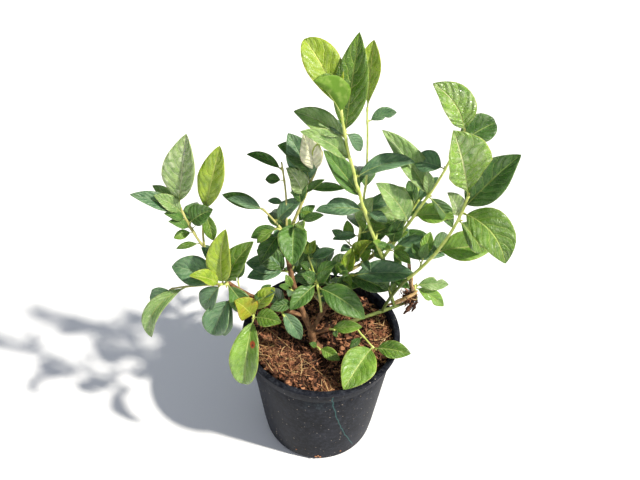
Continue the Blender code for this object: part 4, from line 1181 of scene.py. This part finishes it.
# %% [markdown]
# ## Veins
# The pattern is drawn on the blade's own coordinates, across from margin to margin and along from
# stalk to tip: a midrib, about eight pairs of side veins that bow towards the tip and fade near the
# margin, and a fine net between them. A side vein lies wherever its sweep reaches a whole number,
# and the veins of one half are set between those of the other.

# %% Vein pattern
VEIN_PAIRS, VEIN_SWEEP, VEIN_BOW = 8.0, 0.26, 1.25
VEIN_STRAY, STRAY_SIZE = 0.07, 11
OTHER_HALF = 0.45
NET_CELL = 1.7


def vein_pattern(tree, coordinates):
    """Outputs for a blade's margin, midrib, side veins, how far each is, and the net."""
    grid = add(tree, "SeparateXYZ", {"Vector": coordinates.outputs["UV"]})
    place = coordinates.outputs["Object"]
    across = add(tree, "Math", {0: grid.outputs["X"], 1: 2.0, 2: -1.0}, operation="MULTIPLY_ADD")
    margin = add(tree, "Math", {0: across.outputs[0]}, operation="ABSOLUTE")
    midrib = add(tree, "MapRange", {"Value": margin.outputs[0], "From Min": 0.01, "From Max": 0.07,
                                    "To Min": 1.0, "To Max": 0.0}, interpolation_type="SMOOTHSTEP")
    bow = add(tree, "Math", {0: margin.outputs[0], 1: VEIN_BOW}, operation="POWER")
    stray = add(tree, "TexNoise", {"Vector": place, "Scale": 1 / (STRAY_SIZE * MM), "Detail": 2.0})
    stray = add(tree, "MapRange", {"Value": stray.outputs["Fac"], "To Min": -VEIN_STRAY,
                                   "To Max": VEIN_STRAY})
    swept = add(tree, "Math", {0: bow.outputs[0], 1: -VEIN_SWEEP, 2: grid.outputs["Y"]},
                operation="MULTIPLY_ADD")
    swept = add(tree, "Math", {0: swept.outputs[0], 1: stray.outputs["Result"]}, operation="ADD")
    right = add(tree, "Math", {0: across.outputs[0], 1: 0.0}, operation="GREATER_THAN")
    right = add(tree, "Math", {0: right.outputs[0], 1: OTHER_HALF}, operation="MULTIPLY")
    pairs = add(tree, "Math", {0: swept.outputs[0], 1: VEIN_PAIRS, 2: right.outputs[0]},
                operation="MULTIPLY_ADD")
    near = add(tree, "Math", {0: pairs.outputs[0], 1: 0.5}, operation="PINGPONG")
    side = add(tree, "MapRange", {"Value": near.outputs[0], "From Min": 0.01, "From Max": 0.075,
                                  "To Min": 1.0, "To Max": 0.0}, interpolation_type="SMOOTHSTEP")
    fade = add(tree, "MapRange", {"Value": margin.outputs[0], "From Min": 0.45, "From Max": 0.95,
                                  "To Min": 1.0, "To Max": 0.1})
    side = add(tree, "Math", {0: side.outputs["Result"], 1: fade.outputs["Result"]}, operation="MULTIPLY")
    net = add(tree, "TexVoronoi", {"Vector": place, "Scale": 1 / (NET_CELL * MM)},
              feature="DISTANCE_TO_EDGE")
    net = add(tree, "MapRange", {"Value": net.outputs["Distance"], "From Min": 0.0, "From Max": 0.16,
                                 "To Min": 1.0, "To Max": 0.0})
    return (margin.outputs[0], midrib.outputs["Result"], side.outputs[0], near.outputs[0],
            net.outputs["Result"])


print("side veins to a leaf:", round(2 * VEIN_PAIRS))

# %% [markdown]
# ## Leaf surface
# A leaf's skin is waxed, so it shines softly, and the veins are sunk into it on the upper side. Over
# slow mottling lie whitish patches on the crests between the veins, which are painted glints of sun on
# the wax and partly the wax's own pale film, then the pale veins and a paler margin.
# Most of what the eye sees of the veins is relief, so their colour is only a little paler. One recipe
# makes every tone of green.

# %% Leaf materials
CLOUD_OF_GREEN, WAX_PATCH = 13, 7
# Whitish colour for the crests: painted glints of sun on the wax, partly the wax's own pale film.
WAX_AND_PAINTED_GLINT = "#e2e8c4"
NET_DRAWN, MIDRIB_DRAWN, RIM_DRAWN = 0.2, 2.6, 0.6
MIDRIB_SUNK, NET_SUNK, CREST_RAISED = 1.4, 0.3, 2.2


def leaf_material(name, dark, light, vein, edge, roughness, veins, wax_and_glint, gloss=0.5, depth=0.5):
    """Leaf skin with midrib, side veins, net veins, mottling and whitish wax with painted glints."""
    made, tree, shader = finish_material(name, IOR=1.45, Subsurface_Weight=0.1, Subsurface_Scale=0.002,
                                         Subsurface_Radius=(0.6, 1.0, 0.2), Specular_IOR_Level=gloss)
    coordinates = add(tree, "TexCoord")
    place = coordinates.outputs["Object"]
    margin, midrib, side, near, net = vein_pattern(tree, coordinates)
    clouds = add(tree, "TexNoise", {"Vector": place, "Scale": 1 / (CLOUD_OF_GREEN * MM), "Detail": 5.0,
                                    "Roughness": 0.65})
    green = add(tree, "ValToRGB", {"Fac": clouds.outputs["Fac"]}, stops=((0.32, dark), (0.68, light)))
    patches = add(tree, "TexNoise", {"Vector": place, "Scale": 1 / (WAX_PATCH * MM), "Detail": 4.0,
                                     "Distortion": 0.8})
    # Painted highlight: whitish patches on the crests between the veins stand in for glints of sun on wax.
    wax_and_glint_mask = add(tree, "MapRange", {"Value": patches.outputs["Fac"], "From Min": 0.46, "From Max": 0.6,
                                   "To Max": 2 * wax_and_glint}, interpolation_type="SMOOTHSTEP")
    wax_and_glint_mask = add(tree, "Math", {0: wax_and_glint_mask.outputs["Result"], 1: near}, operation="MULTIPLY")
    rim = add(tree, "MapRange", {"Value": margin, "From Min": 0.93, "From Max": 0.99, "To Max": RIM_DRAWN})
    green = add(tree, "Mix", {0: wax_and_glint_mask.outputs[0], 6: green.outputs["Color"], 7: linear(WAX_AND_PAINTED_GLINT)},
                data_type="RGBA")
    for drawn, strength in ((net, NET_DRAWN), (side, veins), (midrib, min(veins * MIDRIB_DRAWN, 1))):
        share = add(tree, "Math", {0: drawn, 1: strength}, operation="MULTIPLY")
        green = add(tree, "Mix", {0: share.outputs[0], 6: green.outputs[2], 7: linear(vein)},
                    data_type="RGBA")
    green = add(tree, "Mix", {0: rim.outputs["Result"], 6: green.outputs[2], 7: linear(edge)},
                data_type="RGBA")
    tree.links.new(green.outputs[2], shader.inputs["Base Color"])
    wax = add(tree, "MapRange", {"Value": clouds.outputs["Fac"], "From Min": 0.3, "From Max": 0.7,
                                 "To Min": roughness - 0.06, "To Max": roughness + 0.08})
    tree.links.new(wax.outputs["Result"], shader.inputs["Roughness"])
    sunk = add(tree, "Math", {0: midrib, 1: MIDRIB_SUNK, 2: side}, operation="MULTIPLY_ADD")
    sunk = add(tree, "Math", {0: net, 1: NET_SUNK, 2: sunk.outputs[0]}, operation="MULTIPLY_ADD")
    pillow = add(tree, "Math", {0: near, 1: -CREST_RAISED, 2: sunk.outputs[0]}, operation="MULTIPLY_ADD")
    relief = add(tree, "Bump", {"Height": pillow.outputs[0], "Strength": 0.7, "Distance": depth * MM},
                 invert=True)
    tree.links.new(relief.outputs["Normal"], shader.inputs["Normal"])
    return made


# %% [markdown]
# ## Tones of green
# A tone is a dark and a light green, the colours of its veins and margin, its roughness, how
# strongly its side veins are drawn and how much whitish wax with painted glints it has. Some also say
# how much they reflect and how deep their relief is. Young leaves are yellow-green, older ones deeper
# and more furrowed, and the waxy and glossy ones carry the most painted glints. The palest tone is a
# painted sheen: a cream colour that stands in for sun glancing off a waxy leaf.

# %% Leaf tones
LEAF_TONES = {
    "young": ("#658512", "#9fb631", "#d4dc78", "#c2b64c", 0.36, 0.35, 0.1),
    "fresh": ("#4f7a1e", "#7aa035", "#bccc78", "#b7ba58", 0.35, 0.35, 0.12),
    "grass": ("#365c0f", "#5f871c", "#b4c86a", "#98a840", 0.36, 0.7, 0.12, 0.6, 0.9),
    "mid": ("#30591d", "#517b2f", "#98b464", "#8ea04c", 0.38, 0.3, 0.08),
    "deep": ("#254a18", "#426c28", "#8fa85e", "#788e48", 0.38, 0.5, 0.1, 0.5, 0.7),
    "blue": ("#3d6142", "#60845c", "#98b284", "#80945a", 0.38, 0.25, 0.12),
    "pale": ("#597e3c", "#8ba95e", "#c4d29e", "#aeb56c", 0.34, 0.3, 0.25),
    "waxy": ("#64863f", "#98b068", "#dde4c4", "#bcc480", 0.30, 0.35, 0.55, 0.8, 1.0),
    "glossy": ("#4f8018", "#88ae3a", "#dbe4a6", "#b6bf58", 0.24, 0.55, 0.38, 1.0, 1.5),
    "turning": ("#94801c", "#7f9e1c", "#c6c85e", "#a8341c", 0.42, 0.3, 0.02),
    "spotted": ("#4c7218", "#7ca432", "#b8cc76", "#a8ae4e", 0.32, 0.35, 0.1, 0.9),
    # Painted sheen: a near-white cream green that stands in for sunlight glancing off a waxy leaf.
    "painted_sheen": ("#c6c99c", "#ebe8c8", "#f4f1dc", "#c4a87c", 0.36, 0.4, 0.4, 0.7, 0.9),
}
materials = [leaf_material("blueberry leaf, " + tone, *LEAF_TONES[tone]) for tone in TONES]
print("tones of green:", len(materials))

# %% [markdown]
# ## A spot on one leaf
# One long leaf at the front has a red spot of dead tissue with a dark centre, which is off its
# middle. It lies over the leaf's own green, placed by its position on the plant.

# %% Leaf spot
SPOT = Vector((-0.0644, -0.0620, 0.2044))
SPOT_SIZE = 3.6
CORE = SPOT + Vector((0.9, 0, -1.1)) * MM

tree = materials[TONES.index("spotted")].node_tree
shader = tree.nodes["Principled BSDF"]
green = shader.inputs["Base Color"].links[0].from_socket
place = add(tree, "TexCoord").outputs["Object"]
away = add(tree, "VectorMath", {0: place, 1: SPOT}, operation="DISTANCE")
spot = add(tree, "MapRange", {"Value": away.outputs["Value"], "From Min": SPOT_SIZE * 0.8 * MM,
                              "From Max": SPOT_SIZE * 1.2 * MM, "To Min": 1.0, "To Max": 0.0})
off = add(tree, "VectorMath", {0: place, 1: CORE}, operation="DISTANCE")
core = add(tree, "MapRange", {"Value": off.outputs["Value"], "From Min": SPOT_SIZE * 0.5 * MM,
                              "From Max": SPOT_SIZE * 0.75 * MM, "To Min": 1.0, "To Max": 0.0})
dead = add(tree, "Mix", {0: core.outputs["Result"], 6: linear("#c23c28"), 7: linear("#22100e")},
           data_type="RGBA")
mixed = add(tree, "Mix", {0: spot.outputs["Result"], 6: green, 7: dead.outputs[2]}, data_type="RGBA")
tree.links.new(mixed.outputs[2], shader.inputs["Base Color"])
print("leaf spot at, in m:", tuple(round(c, 3) for c in SPOT))

# %% [markdown]
# ## Undersides and stalks
# An underside is matt, because it has no wax, and its net of veins stands out, so each tone has its
# own. The Solidify modifier gives the blades their thickness, and sets the lower faces as many
# slots further on as there are tones. Stalks and midribs are a pale yellow green.

# %% Undersides, blades and ribs
LEAF_THICKNESS = 0.35
VEIL_SIZE = 6


def underside(tone):
    """Matt lower skin of a tone, with a raised net of veins."""
    light, vein = LEAF_TONES[tone][1:3]
    made, tree, shader = finish_material("leaf underside, " + tone, Roughness=0.62, IOR=1.42)
    place = add(tree, "TexCoord").outputs["Object"]
    veil = add(tree, "TexNoise", {"Vector": place, "Scale": 1 / (VEIL_SIZE * MM), "Detail": 5.0})
    skin = add(tree, "ValToRGB", {"Fac": veil.outputs["Fac"]}, stops=((0.5, light), (1.0, vein)))
    tree.links.new(skin.outputs["Color"], shader.inputs["Base Color"])
    net = add(tree, "TexVoronoi", {"Vector": place, "Scale": 1 / (NET_CELL * MM)}, feature="DISTANCE_TO_EDGE")
    relief = add(tree, "Bump", {"Height": net.outputs["Distance"], "Strength": 0.4, "Distance": 0.0003})
    tree.links.new(relief.outputs["Normal"], shader.inputs["Normal"])
    return made


blades = make_piece("leaf_blades", blade_bm, [*materials, *map(underside, TONES)], closed=False)
thick = blades.modifiers.new("thickness", "SOLIDIFY")
thick.thickness = LEAF_THICKNESS * MM
thick.offset = -1
thick.material_offset = len(TONES)
thick.material_offset_rim = 0
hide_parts(*SHOOTS)

rib_skin = plain_fibre_material("leaf stalk and midrib", "#84953f", "#b0bb72", 0.5, 8)
make_piece("leaf_ribs", rib_bm, [rib_skin])

# %% [markdown]
# ## The run of a shoot
# Green shoots zigzag a little from leaf to leaf and swell at each one. The zigzag is a small sideways
# step that changes sides at each leaf and fades close to it, so that every leaf stays on its shoot.

# %% Shoot rule
SHOOT_RING = 1.6
SHOOT_SLENDER = 0.87
NODE_SWELLING, NODE_REACH = 0.3, 1.8
ZIGZAG, ZIGZAG_BLEND = 0.5, 5


def shoot_line(name):
    """A shoot's centre line with its zigzag between leaves, its radius swollen at each leaf."""
    limb = LIMBS[name]
    line = smooth(lines[name], SHOOT_RING)
    last = len(line) - 1
    joints = sorted(leaf.at / limb.length for leaf in LEAVES[name])
    bent = []
    for i, (point, radius) in enumerate(line):
        share = i / last
        swelling = sum(math.exp(-((share - joint) * limb.length / NODE_REACH) ** 2) for joint in joints)
        way = (-1) ** sum(joint < share for joint in joints)
        ahead = (line[min(i + 1, last)][0] - line[max(i - 1, 0)][0]).normalized()
        sway = ahead.cross(Vector((0, 0.3, 1))).normalized() * ZIGZAG * way * math.sin(math.pi * share)
        blend = min([abs(share - joint) * limb.length / ZIGZAG_BLEND for joint in joints] + [1])
        thick = radius * SHOOT_SLENDER + NODE_SWELLING * min(swelling, 1)
        bent.append((point + sway * blend, thick))
    return bent


# %% [markdown]
# ## Shoots and buds
# Older canes are straw-coloured, and all other shoots are green. In the angle above each leaf sits a
# small pointed bud, which is a ball drawn out between the way of its leaf and that of its shoot.

# %% Grow the shoots
SHOOT_SIDES, SPRIG_SIDES = 10, 6
BUD_SHAPE, BUD_RAISED = (0.75, 0.75, 1.7), 2.4
GREEN_SKIN, STRAW_SKIN = range(2)
STRAW_SHOOTS = ("centre_shoot", "thin_twig", "side_twig", "left_shoot", "hanging_twig", "left_inner_twig")


def add_bud(bm, name, leaf):
    """Adds the bud that sits between a leaf and its shoot."""
    limb = LIMBS[name]
    base = along(lines[name], leaf.at / limb.length)
    axis = (direction(leaf.heading, leaf.rise) + direction(limb.heading, limb.rise)).normalized()
    size = min(leaf.reach / PLAIN_REACH, 1)
    verts = bmesh.ops.create_icosphere(bm, subdivisions=2, radius=size * MM)["verts"]
    bmesh.ops.scale(bm, vec=BUD_SHAPE, verts=verts)
    bmesh.ops.rotate(bm, matrix=axis.to_track_quat("Z", "Y").to_matrix(), verts=verts)
    bmesh.ops.translate(bm, vec=(base + axis * BUD_RAISED * size) * MM, verts=verts)


shoot_bm, bud_bm = new_batch(), new_batch()
for name in {**SHOOTS, **TWIGS}:
    shoot_batch, bud_batch = new_batch(), new_batch()
    sides = SHOOT_SIDES if LIMBS[name].length > SPRIG_LENGTH[1] else SPRIG_SIDES
    verts = add_tube(shoot_batch, shoot_line(name), sides)
    paint(verts, STRAW_SKIN if name in STRAW_SHOOTS else GREEN_SKIN)
    for leaf in LEAVES[name]:
        add_bud(bud_batch, name, leaf)
    pour(shoot_batch, shoot_bm)
    pour(bud_batch, bud_bm)
print("shoot faces:", len(shoot_bm.faces))

# %% [markdown]
# ## Shoot skin
# The skin of shoots is smooth and mottled, from straw yellow on the older canes to bright
# yellow-green at the tips, with small pale breathing pores. Bud scales are the same skin in brown,
# with reddish pores.

# %% Shoot materials
MOTTLE_SIZE, SHOOT_PORE_SPACING = 9, 1.3


def shoot_material(name, dark, light, tip):
    """Smooth shoot skin, mottled between two shades, with small breathing pores in a third."""
    made, tree, shader = finish_material(name, Roughness=0.48, IOR=1.42)
    place = add(tree, "TexCoord").outputs["Object"]
    clouds = add(tree, "TexNoise", {"Vector": place, "Scale": 1 / (MOTTLE_SIZE * MM), "Detail": 4.0})
    skin = add(tree, "ValToRGB", {"Fac": clouds.outputs["Fac"]}, stops=((0.33, dark), (0.66, light)))
    pores = add(tree, "TexVoronoi", {"Vector": place, "Scale": 1 / (SHOOT_PORE_SPACING * MM)})
    pore = add(tree, "MapRange", {"Value": pores.outputs["Distance"], "From Min": 0.1, "From Max": 0.25,
                                  "To Min": 0.5, "To Max": 0.0})
    skin = add(tree, "Mix", {0: pore.outputs["Result"], 6: skin.outputs["Color"], 7: linear(tip)},
               data_type="RGBA")
    tree.links.new(skin.outputs[2], shader.inputs["Base Color"])
    relief = add(tree, "Bump", {"Height": pores.outputs["Distance"], "Strength": 0.25, "Distance": 0.0003})
    tree.links.new(relief.outputs["Normal"], shader.inputs["Normal"])
    return made


SHOOT_SKINS = [shoot_material("green shoot skin", "#afc04e", "#dbe287", "#e9ecc0"),
               shoot_material("straw-coloured cane skin", "#a3a056", "#c8c37c", "#dedaa8")]
make_piece("shoots", shoot_bm, SHOOT_SKINS)
bud_skin = shoot_material("bud scales", "#8a7a3c", "#aab05a", "#a8604a")
make_piece("buds", bud_bm, [bud_skin])

# %% [markdown]
# ## Tangle on the snag
# Near its foot, at the end of the right bough, the old broken stem has caught a wad of damp coir.
# Fibres of every shade start in a small ball there and bend away from it. Four pale strips lie
# across it and stand up out of it, and two brown shreds hang down.

# %% Tangle of fibres
TANGLE_FIBRES = 240
TANGLE = along(lines["old_snag"], 0.12) + Vector((-4, -4, 1))
TANGLE_SIZE = Vector((7, 5, 9))
TANGLE_RADII = (0.3, 0.5, 0.9)
TANGLE_SHADES = (TAN, BROWN, BROWN, PEAT, PEAT, PEAT, STRAW)
WAD_RADIUS, WAD_ROUGHNESS, WAD_LUMP = 5, 0.9, 3
# Start and end from the tangle's middle, half the greatest width, and shade of each strip.
STRIPS = (((-22, -3, -11), (1, -6, 8), 2.5, STRAW), ((-8, -7, 2), (8, -3, 13), 2.0, STRAW),
          ((-4, -4, 10), (-9, -2, 30), 1.2, TAN), ((4, 0, 8), (-2, 2, 34), 1.1, STRAW),
          ((3, -5, -4), (-3, -6, -20), 4.2, BROWN), ((8, -3, -2), (5, -6, -16), 3.0, PEAT))
tangle_rng = random.Random(5)


def strip_line(start, end, wide):
    """Centre line of a strip that curls a little and tapers to both ends."""
    line = []
    for k in range(7):
        point = TANGLE + Vector(start).lerp(Vector(end), k / 6)
        curl = Vector((math.sin(k * 1.9), 0, math.cos(k * 1.3))) * 0.9
        line.append((point + curl, wide * (1 - abs(k - 3) / 5)))
    return line


tangle_bm = new_batch()
for _ in range(TANGLE_FIBRES):
    spread = Vector([tangle_rng.gauss(0, 0.45) * size for size in TANGLE_SIZE])
    line = bent_fibre(TANGLE + spread, tangle_rng.uniform(0, 360), tangle_rng.gauss(0, 45),
                      tangle_rng.uniform(-120, 120), tangle_rng.uniform(4, 11),
                      tangle_rng.choice(TANGLE_RADII))
    paint(add_tube(tangle_bm, line, 3), tangle_rng.choice(TANGLE_SHADES))
wad = bmesh.ops.create_icosphere(tangle_bm, subdivisions=3, radius=WAD_RADIUS * MM)["verts"]
for vert in wad:
    rough = WAD_ROUGHNESS * noise.fractal(vert.co / (WAD_LUMP * MM), 1.0, 2.0, 3)
    vert.co = vert.co * (1 + rough) + TANGLE * MM
paint(wad, BROWN)
for start, end, wide, shade in STRIPS:
    strip = add_tube(tangle_bm, strip_line(start, end, wide), 6,
                     lambda row, turn: 0.3 + 0.7 * abs(math.cos(turn)))
    paint(strip, shade)
make_piece("snag_tangle", tangle_bm, coir)
